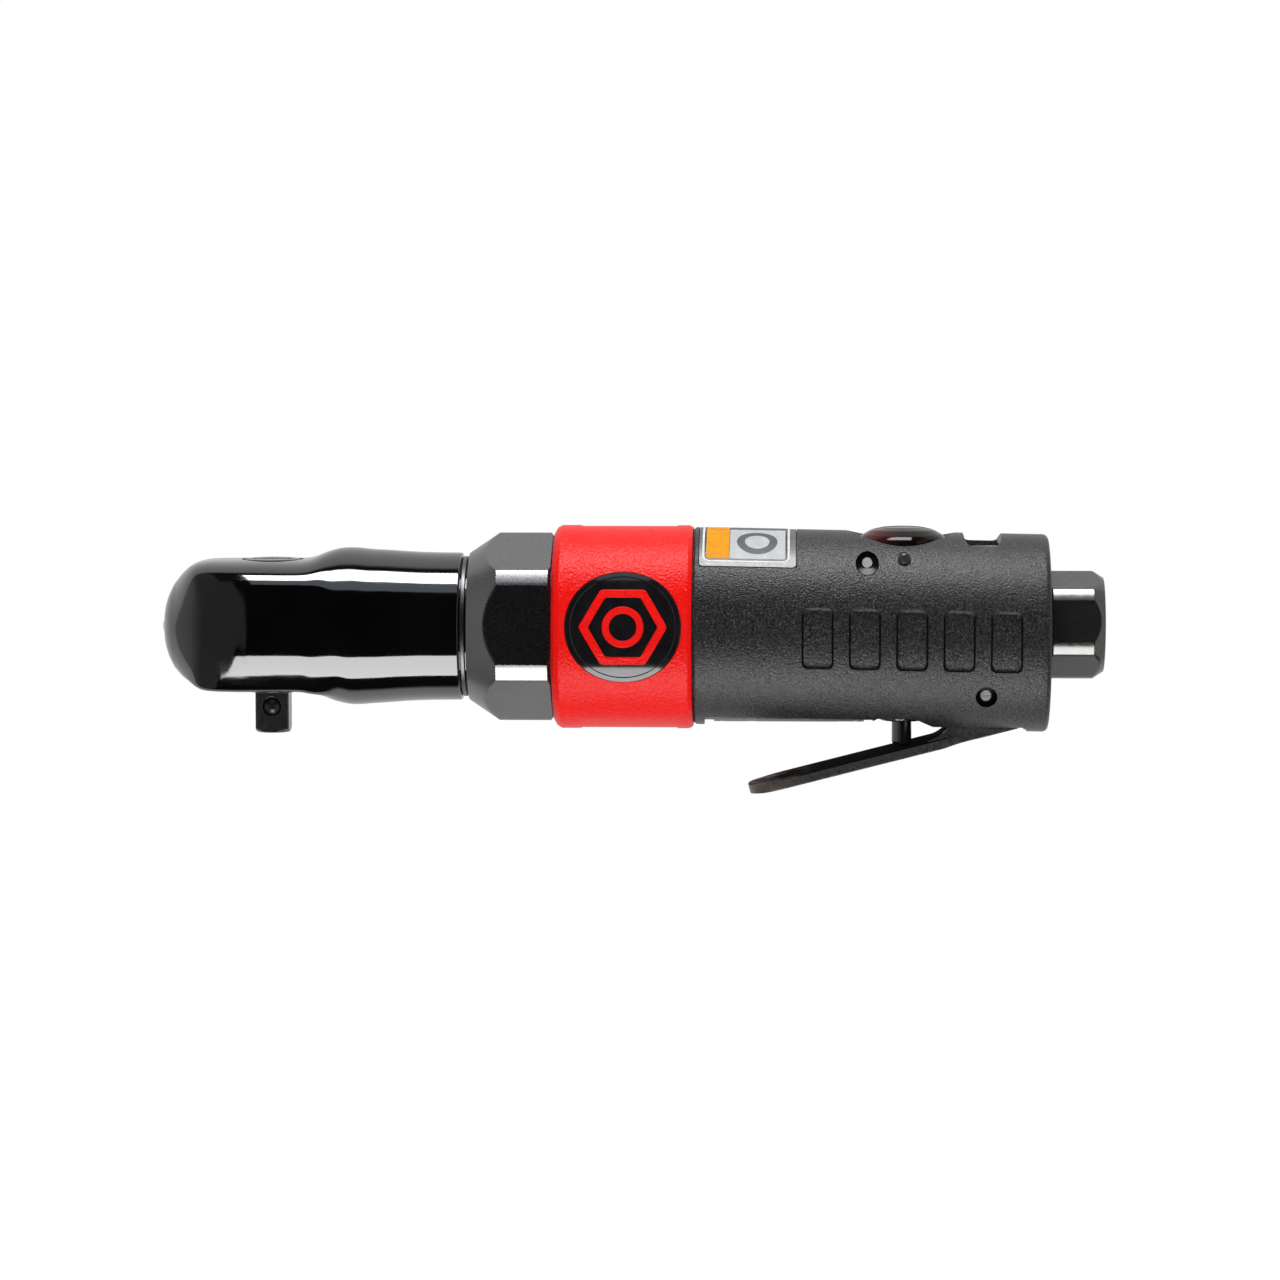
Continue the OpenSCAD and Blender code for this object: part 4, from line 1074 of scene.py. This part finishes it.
ARC = 48.3 * PI / 180 * SHELL_R
C0 = ((81.45 + 99.4) / 2, 0.0)
shell_patch("top_label_foil", dense_rect(81.4, 99.45, -ARC, ARC, 0.7), SHELL_R - 0.24, SHELL_R - 0.02, rings=14, replaces=True, centre=C0)
shell_patch("top_label_border", dense_rect(81.95, 98.3, -ARC + 1.05, ARC - 1.05, 1.3), SHELL_R - 0.1, SHELL_R + 0.01, rings=12, mat=M_WHITE, centre=C0)
shell_patch("top_label_line", dense_rect(82.35, 97.9, -ARC + 1.45, ARC - 1.45, 0.9), SHELL_R - 0.1, SHELL_R + 0.025, rings=12, mat=M_INK, centre=C0)
for sgn, tag in ((-1, "a"), (1, "b")):
    lo, hi = sorted((sgn * (ARC - 1.85), sgn * 2.62))
    mid = (lo + hi) / 2
    shell_patch("top_label_orange_" + tag, dense_rect(82.7, 87.0, lo, hi, 0.35), SHELL_R - 0.1, SHELL_R + 0.04, rings=6, mat=M_ORANGE, centre=(84.7, mid))
    shell_patch("top_label_panel_" + tag, dense_rect(87.1, 97.5, lo, hi, 0.35), SHELL_R - 0.1, SHELL_R + 0.04, rings=6, mat=M_PANEL, centre=(92.3, mid))
    oc = sgn * 8.7
    el = [(92.2 + 3.8 * math.cos(2 * PI * k / 72), oc + 3.95 * math.sin(2 * PI * k / 72)) for k in range(72)]
    shell_patch("top_label_oval_" + tag, el, SHELL_R - 0.1, SHELL_R + 0.055, rings=5, mat=M_GREY, centre=(92.2, oc))
    el2 = [(92.2 + 2.3 * math.cos(2 * PI * k / 48), oc + 2.4 * math.sin(2 * PI * k / 48)) for k in range(48)]
    shell_patch("top_label_inner_oval_" + tag, el2, SHELL_R - 0.1, SHELL_R + 0.068, rings=4, mat=M_PANEL, centre=(92.2, oc))
shell_patch("top_label_grey_block", dense_rect(87.1, 97.5, -2.42, 2.42, 0.3), SHELL_R - 0.1, SHELL_R + 0.04, rings=4, mat=M_GREY, centre=(92.3, 0.0))
shell_patch("top_label_orange_bar", dense_rect(82.7, 87.0, -2.42, 2.42, 0.3), SHELL_R - 0.1, SHELL_R + 0.04, rings=4, mat=M_ORANGE, centre=(84.7, 0.0))


def low_label():
    base = under_solid("under_label_film", 84.0, 112.4, 17.62, 17.9, 27.0, 0.9)
    place(base, "lower_label")
    rim = under_solid("under_label_frame", 84.6, 111.8, 17.8, 17.93, 25.2, 0.6)
    cut(rim, [under_solid("u1", 84.95, 111.45, 17.0, 18.5, 24.2, 0.45)])
    place(rim, "lower_label", mat=MATS["label_silver"], replaces=False, slot="label_silver")
    for k, (x0, x1, c, w) in enumerate(((85.9, 90.4, 0, 20.5), (92.0, 110.4, -17.5, 3.0), (92.0, 104.6, -7.0, 2.0), (92.0, 107.4, 4.0, 2.0), (92.0, 110.4, 16.0, 4.0))):
        b = under_solid("under_label_block_%d" % k, x0, x1, 17.8, 17.93, w, 0.3, mid=c)
        place(b, "lower_label", mat=MATS["label_silver"], replaces=False, slot="label_silver")


low_label()


# ---------------------------------------------------------------- throttle: lever, stem, regulator
def lever():
    m = (31.5 - 20.3) / (135 - 91.6)
    al = math.atan(m)
    t = 1.65
    # local frame: s along the plate from its tip, y across, n through the plate
    ox, oz = 90.95, -31.5 + (90.95 - 91.6) * m
    ca, sa = math.cos(al), math.sin(al)

    def half_width(s):
        w = 8.0
        if s < 7.0:
            w = 1.0 + math.sqrt(max(0.0, 49.0 - (7.0 - s) ** 2))
        w = min(w, 8.0)
        f = smooth01(37.0, 41.5, s)
        return float(w * (1 - f) + 5.4 * f)
    ss = list(np.linspace(0.0, 1.2, 7)) + list(np.linspace(1.5, 7.0, 12)) + list(np.arange(8.0, 37.0, 1.0)) + list(np.linspace(37.0, 41.5, 10)) + [43.0, 44.5, 46.2]
    cols = 21
    v, f = [], []
    for side in (0, 1):
        for s in ss:
            hw = half_width(s)
            for j in range(cols):
                u = -1 + 2 * j / (cols - 1)
                y = hw * u
                # faint crease along the middle and a soft upturn of the rim
                crown = 0.16 * math.exp(-(y / 1.1) ** 2) * smooth01(4, 9, s) * smooth01(40, 33, s)
                roll = -0.30 * (1 - smooth01(0.0, 3.2, s))
                n = (t if side else 0.0) - crown * (0.9 if side else -0.0) * 0 + (-crown if side else 0.0) + float(roll) * (-1 if side else -1) * 0.5
                v.append((ox + s * ca - n * sa, y, oz + s * sa + n * ca))
    rows = len(ss)
    half = rows * cols
    for side in (0, 1):
        b = side * half
        for i in range(rows - 1):
            for j in range(cols - 1):
                q = (b + i * cols + j, b + (i + 1) * cols + j, b + (i + 1) * cols + j + 1, b + i * cols + j + 1)
                f.append(q if side else q[::-1])
    for i in range(rows - 1):
        for j in (0, cols - 1):
            a, c = i * cols + j, (i + 1) * cols + j
            f.append((a, c, half + c, half + a))
    for j in range(cols - 1):
        for i in (0, rows - 1):
            a, c = i * cols + j, i * cols + j + 1
            f.append((a, c, half + c, half + a))
    o = mesh_from("throttle_paddle", v, f, smooth=40)
    heel = prism("h0", fillet([(133.5, -20.72), (135.9, -20.1, 2.0), (141.5, -18.65, 0.8), (141.9, -17.5, 0.6), (135.9, -18.45), (133.5, -19.0)], closed=True), -5.4, 5.4, "xz")
    ears = []
    prof = fillet([(124.2, -22.85), (123.2, -21.85, 0.5), (126.8, -20.15, 5.0), (129.6, -17.4, 4.0), (131.6, -14.0, 6.0), (132.35, -10.2, 2.4), (135.1, -9.0, 2.6), (137.85, -10.4, 2.4), (138.2, -13.0, 3.0), (141.9, -17.5, 0.7), (141.5, -18.65, 0.6), (135.9, -20.1)], closed=True, seg=8)
    for y in (-5.4, 3.8):
        ears.append(prism("ear", prof, y, y + 1.6, "xz"))
    cut(o, [heel] + ears, op="UNION", solver="EXACT")
    hole = y_drill("hh", PIVOT_X, PIVOT_Z, 1.06, -10, 10)
    cut(o, [hole], solver="EXACT")
    bm = bmesh.new()
    bm.from_mesh(o.data)
    bmesh.ops.remove_doubles(bm, verts=bm.verts, dist=2e-6)
    bmesh.ops.dissolve_degenerate(bm, edges=bm.edges, dist=2e-6)
    bm.to_mesh(o.data)
    bm.free()
    bevel(o, 0.30, 3, 42, smooth=42)
    return place(o, "throttle_lever")


lever()
stem = revolve("valve_stem", fillet([(-22.4, 0.0), (-22.4, 1.87, 1.55), (-5.0, 1.87), (-5.0, 4.4, 0.2), (-3.5, 4.4, 0.3), (-3.5, 1.5, 0.3), (-1.2, 1.5, 0.3), (-1.2, 0.0)], seg=8), n=96, axis="z", centre=(VALVE_X, 0.0))
place(stem, "throttle_valve")


def dial():
    r = 8.2
    prof = fillet([(4.0, 3.2), (4.0, 5.5, 0.2), (5.3, 5.55), (5.3, 4.5), (6.7, 4.5), (6.7, 5.55), (8.0, 5.55), (8.0, 6.45, 0.15), (11.95, 6.45, 0.15),
                   (11.95, 5.7), (14.08, 5.7), (14.08, 6.45, 0.1), (15.2, 6.45), (15.2, r - 0.1, 0.2), (15.6, r, 0.2), (17.05, r, 0.25), (17.7, r - 0.7, 1.5), (18.6, r - 2.3, 3.0), (19.1, r - 4.6, 4.0), (19.25, 0.0)], seg=6)
    prof = prof + [(9.0, 0.0), (9.0, 3.2)]
    p = [q for q in prof]
    # outside from below to the crown, then the blind bore
    out = [q for q in p if True]
    o = revolve("regulator_knob", out[:-2], n=160, axis="z", centre=(VALVE_X, 0.0), smooth=30)
    bore = revolve("d1", [(3.0, 0.0), (3.0, 3.19), (9.0, 3.19), (9.0, 0.0)], n=64, axis="z", centre=(VALVE_X, 0.0))
    slot_cut = prism("d2", rrect(VALVE_X - 5.4, VALVE_X + 5.4, -0.85, 0.85, 0.84), 18.15, 21, "xy")
    cut(o, [bore, slot_cut])
    bevel(o, 0.08, 2, 50, smooth=32)
    return place(o, "regulator_dial")


dial()


# ---------------------------------------------------------------- air inlet
INLET_TURN = math.radians(8.5)


def inlet():
    ap = 9.4
    outer = fillet([(147.15, 8.4), (147.15, 9.6, 0.2), (147.75, 10.2, 0.2), (155.5, 10.2, 0.3), (157.6, 8.9, 0.25), (157.6, 6.75)], seg=4)
    outer = densify(outer, 0.24)
    k = len(outer)
    lead = [(157.6, 6.75), (156.9, 6.1)]
    thread = [(x, 5.95) for x in np.arange(156.8, 145.7, -0.12)]
    back = [(145.6, 5.72), (145.6, 4.0), (135.5, 4.0), (135.5, 5.0), (134.0, 5.0), (134.0, 8.1), (134.3, 8.38), (141.2, 8.38), (141.2, 7.38), (142.5, 7.38), (142.5, 8.38), (147.1, 8.38)]
    prof = outer + lead[1:] + thread + back
    t0 = len(outer) + 1
    t1 = t0 + len(thread)
    pitch = 25.4 / 18

    def disp(X, R, T, I):
        a = (T - PI / 2 - INLET_TURN + PI / 6) % (PI / 3) - PI / 6
        flat = ap / np.cos(a)
        R2 = np.where(I < k - 2, smin(R, flat, 0.10), R)
        ph = (X / pitch + T / (2 * PI)) % 1.0
        tri = 1 - np.abs(2 * ph - 1)
        fade = smooth01(145.8, 147.2, X) * smooth01(157.0, 156.3, X)
        R2 = np.where((I >= t0) & (I < t1), 5.72 + 0.85 * smooth01(0.08, 0.92, tri) * fade + 0.25 * smooth01(155.8, 156.9, X), R2)
        return X, R2
    th = []
    for s in range(6):
        c = PI / 2 + INLET_TURN + s * PI / 3
        edge = math.acos(ap / 10.2)
        for q in np.concatenate([np.linspace(-edge, edge, 20), np.linspace(edge, PI / 3 - edge, 6)[1:-1]]):
            th.append((c + q) % (2 * PI))
    o = revolve("air_inlet_bushing", prof, closed=True, disp=disp, thetas=sorted(th), centre=(0.0, 0.6), smooth=17)
    return place(o, "inlet_bushing")


inlet()

# ---------------------------------------------------------------- CAD pieces that stay, with their materials
KEEP_MAT = {"lever_pin": m_steel("pin_zinc", (0.72, 0.72, 0.72), 0.45, metallic=0.15, edges=0.1), "housing_pin": None, "regulator_pin": m_gloss("domed_pin_grey", (0.035, 0.035, 0.037), rough=0.34, coat=0.0)}
KEEP_MAT["housing_pin"] = KEEP_MAT["lever_pin"]
for name, ob in frame["nodes"].items():
    m = KEEP_MAT.get(name) or MATS[SLOT[name]]
    if ob.material_slots:
        for s in ob.material_slots:
            s.material = m
    else:
        ob.data.materials.append(m)

# ---------------------------------------------------------------- stage: floor, light, camera
scene = bpy.context.scene
CX, CZ = 0.0699, AXIS_Z / 1000 - 0.00256


def emission(name, cam, other):
    m = bpy.data.materials.new(name)
    m.use_nodes = True
    t = m.node_tree
    t.nodes.clear()
    out = t.nodes.new("ShaderNodeOutputMaterial")
    lp = t.nodes.new("ShaderNodeLightPath")
    e = t.nodes.new("ShaderNodeEmission")
    e.inputs["Color"].default_value = (*cam, 1)
    d = t.nodes.new("ShaderNodeBsdfDiffuse")
    d.inputs["Color"].default_value = (*other, 1)
    mx = t.nodes.new("ShaderNodeMixShader")
    t.links.new(lp.outputs["Is Camera Ray"], mx.inputs[0])
    t.links.new(d.outputs[0], mx.inputs[1])
    t.links.new(e.outputs[0], mx.inputs[2])
    # clear from underneath, so the tool can be looked at from below
    geo = t.nodes.new("ShaderNodeNewGeometry")
    clear = t.nodes.new("ShaderNodeBsdfTransparent")
    side = t.nodes.new("ShaderNodeMixShader")
    t.links.new(geo.outputs["Backfacing"], side.inputs[0])
    t.links.new(mx.outputs[0], side.inputs[1])
    t.links.new(clear.outputs[0], side.inputs[2])
    t.links.new(side.outputs[0], out.inputs[0])
    return m


fm = bpy.data.meshes.new("floor")
S = 6.0
fm.from_pydata([(-S, -S, 0), (S, -S, 0), (S, S, 0), (-S, S, 0)], [], [(0, 1, 2, 3)])
floor = bpy.data.objects.new("floor", fm)
floor.location = (0, 0, cad_box[0][2] - 0.004)
scene.collection.objects.link(floor)
floor.data.materials.append(emission("pale_floor", (1.0, 1.0, 1.0), (0.8, 0.8, 0.8)))
floor.visible_diffuse = False
floor.visible_glossy = False
floor.visible_shadow = False
floor.visible_transmission = False

world = bpy.data.worlds.new("studio")
scene.world = world
world.use_nodes = True
t = world.node_tree
t.nodes.clear()
out = t.nodes.new("ShaderNodeOutputWorld")
tc = t.nodes.new("ShaderNodeTexCoord")
sep = t.nodes.new("ShaderNodeSeparateXYZ")
t.links.new(tc.outputs["Generated"], sep.inputs[0])


def wmath(op, a, b=0.0):
    n = t.nodes.new("ShaderNodeMath")
    n.operation = op
    for i, v in enumerate((a, b)):
        if isinstance(v, bpy.types.NodeSocket):
            t.links.new(v, n.inputs[i])
        else:
            n.inputs[i].default_value = v
    return n.outputs[0]


def wmap(v, a, b, c, d):
    n = t.nodes.new("ShaderNodeMapRange")
    n.interpolation_type = "SMOOTHSTEP"
    t.links.new(v, n.inputs[0])
    for i, x in enumerate((a, b, c, d)):
        n.inputs[i + 1].default_value = x
    return n.outputs[0]


# pale surround behind the tool, grey card on the left, dark towards the camera
behind = wmap(sep.outputs["Y"], 0.20, 0.36, 0.0, 0.82)
left = wmap(sep.outputs["X"], -0.267, -0.275, 0.0, 0.15)
far_left = wmap(sep.outputs["X"], -0.55, -0.97, 0.0, 0.30)
right = wmap(sep.outputs["X"], 0.55, 0.70, 0.0, 0.5)
lum = wmath("ADD", wmath("MAXIMUM", wmath("MAXIMUM", behind, right), wmath("ADD", left, far_left)), 0.003)
bg = t.nodes.new("ShaderNodeBackground")
t.links.new(lum, bg.inputs["Strength"])
bgc = t.nodes.new("ShaderNodeBackground")
bgc.inputs["Color"].default_value = (1, 1, 1, 1)
bgc.inputs["Strength"].default_value = 1.0
lp = t.nodes.new("ShaderNodeLightPath")
mx = t.nodes.new("ShaderNodeMixShader")
t.links.new(lp.outputs["Is Camera Ray"], mx.inputs[0])
t.links.new(bg.outputs[0], mx.inputs[1])
t.links.new(bgc.outputs[0], mx.inputs[2])
t.links.new(mx.outputs[0], out.inputs[0])


def softbox(name, angle, dist, length, width, radiance, x=0.07, glossy=True, color=(1, 1, 1)):
    """Strip light at an angle above the direction of the camera, seen from the tool axis."""
    L = bpy.data.lights.new(name, "AREA")
    L.shape = "RECTANGLE"
    L.size = length
    L.size_y = width
    L.energy = radiance * PI * length * width
    L.color = color
    o = bpy.data.objects.new(name, L)
    a = math.radians(angle)
    pos = Vector((x, -dist * math.cos(a), AXIS_Z / 1000 + dist * math.sin(a)))
    zaxis = (pos - Vector((x, 0, AXIS_Z / 1000))).normalized()
    xaxis = Vector((1, 0, 0))
    yaxis = zaxis.cross(xaxis)
    o.matrix_world = Matrix((
        (xaxis.x, yaxis.x, zaxis.x, pos.x),
        (xaxis.y, yaxis.y, zaxis.y, pos.y),
        (xaxis.z, yaxis.z, zaxis.z, pos.z),
        (0, 0, 0, 1)))
    scene.collection.objects.link(o)
    o.visible_glossy = glossy
    o.visible_camera = False
    return o


softbox("softbox_top", 84, 0.60, 0.365, 0.222, 12.5, x=0.0685)
softbox("softbox_top_feather", 65.5, 0.64, 0.365, 0.17, 0.7, x=0.0685, color=(0.80, 0.90, 1.0))
softbox("softbox_low", -60, 0.62, 0.422, 0.405, 5.4, x=0.040)
softbox("fill_front", 8, 1.30, 0.9, 0.7, 3.9, glossy=False)

cam = bpy.data.cameras.new("camera")
cam.sensor_width = 36.0
camo = bpy.data.objects.new("camera", cam)
scene.collection.objects.link(camo)
D = 0.90
EL = math.radians(5.0)
target = Vector((CX, 0.0, CZ))
eye = Vector((0.100, -D * math.cos(EL), CZ + D * math.sin(EL)))
camo.location = eye
d = target - eye
camo.rotation_euler = d.to_track_quat("-Z", "Y").to_euler()
cam.lens = 36.0 * d.length / 0.2432
cam.clip_start = 0.01
cam.clip_end = 50.0
scene.camera = camo

scene.view_settings.view_transform = "Standard"
scene.view_settings.look = "None"
scene.view_settings.exposure = 0.0
scene.view_settings.gamma = 1.0
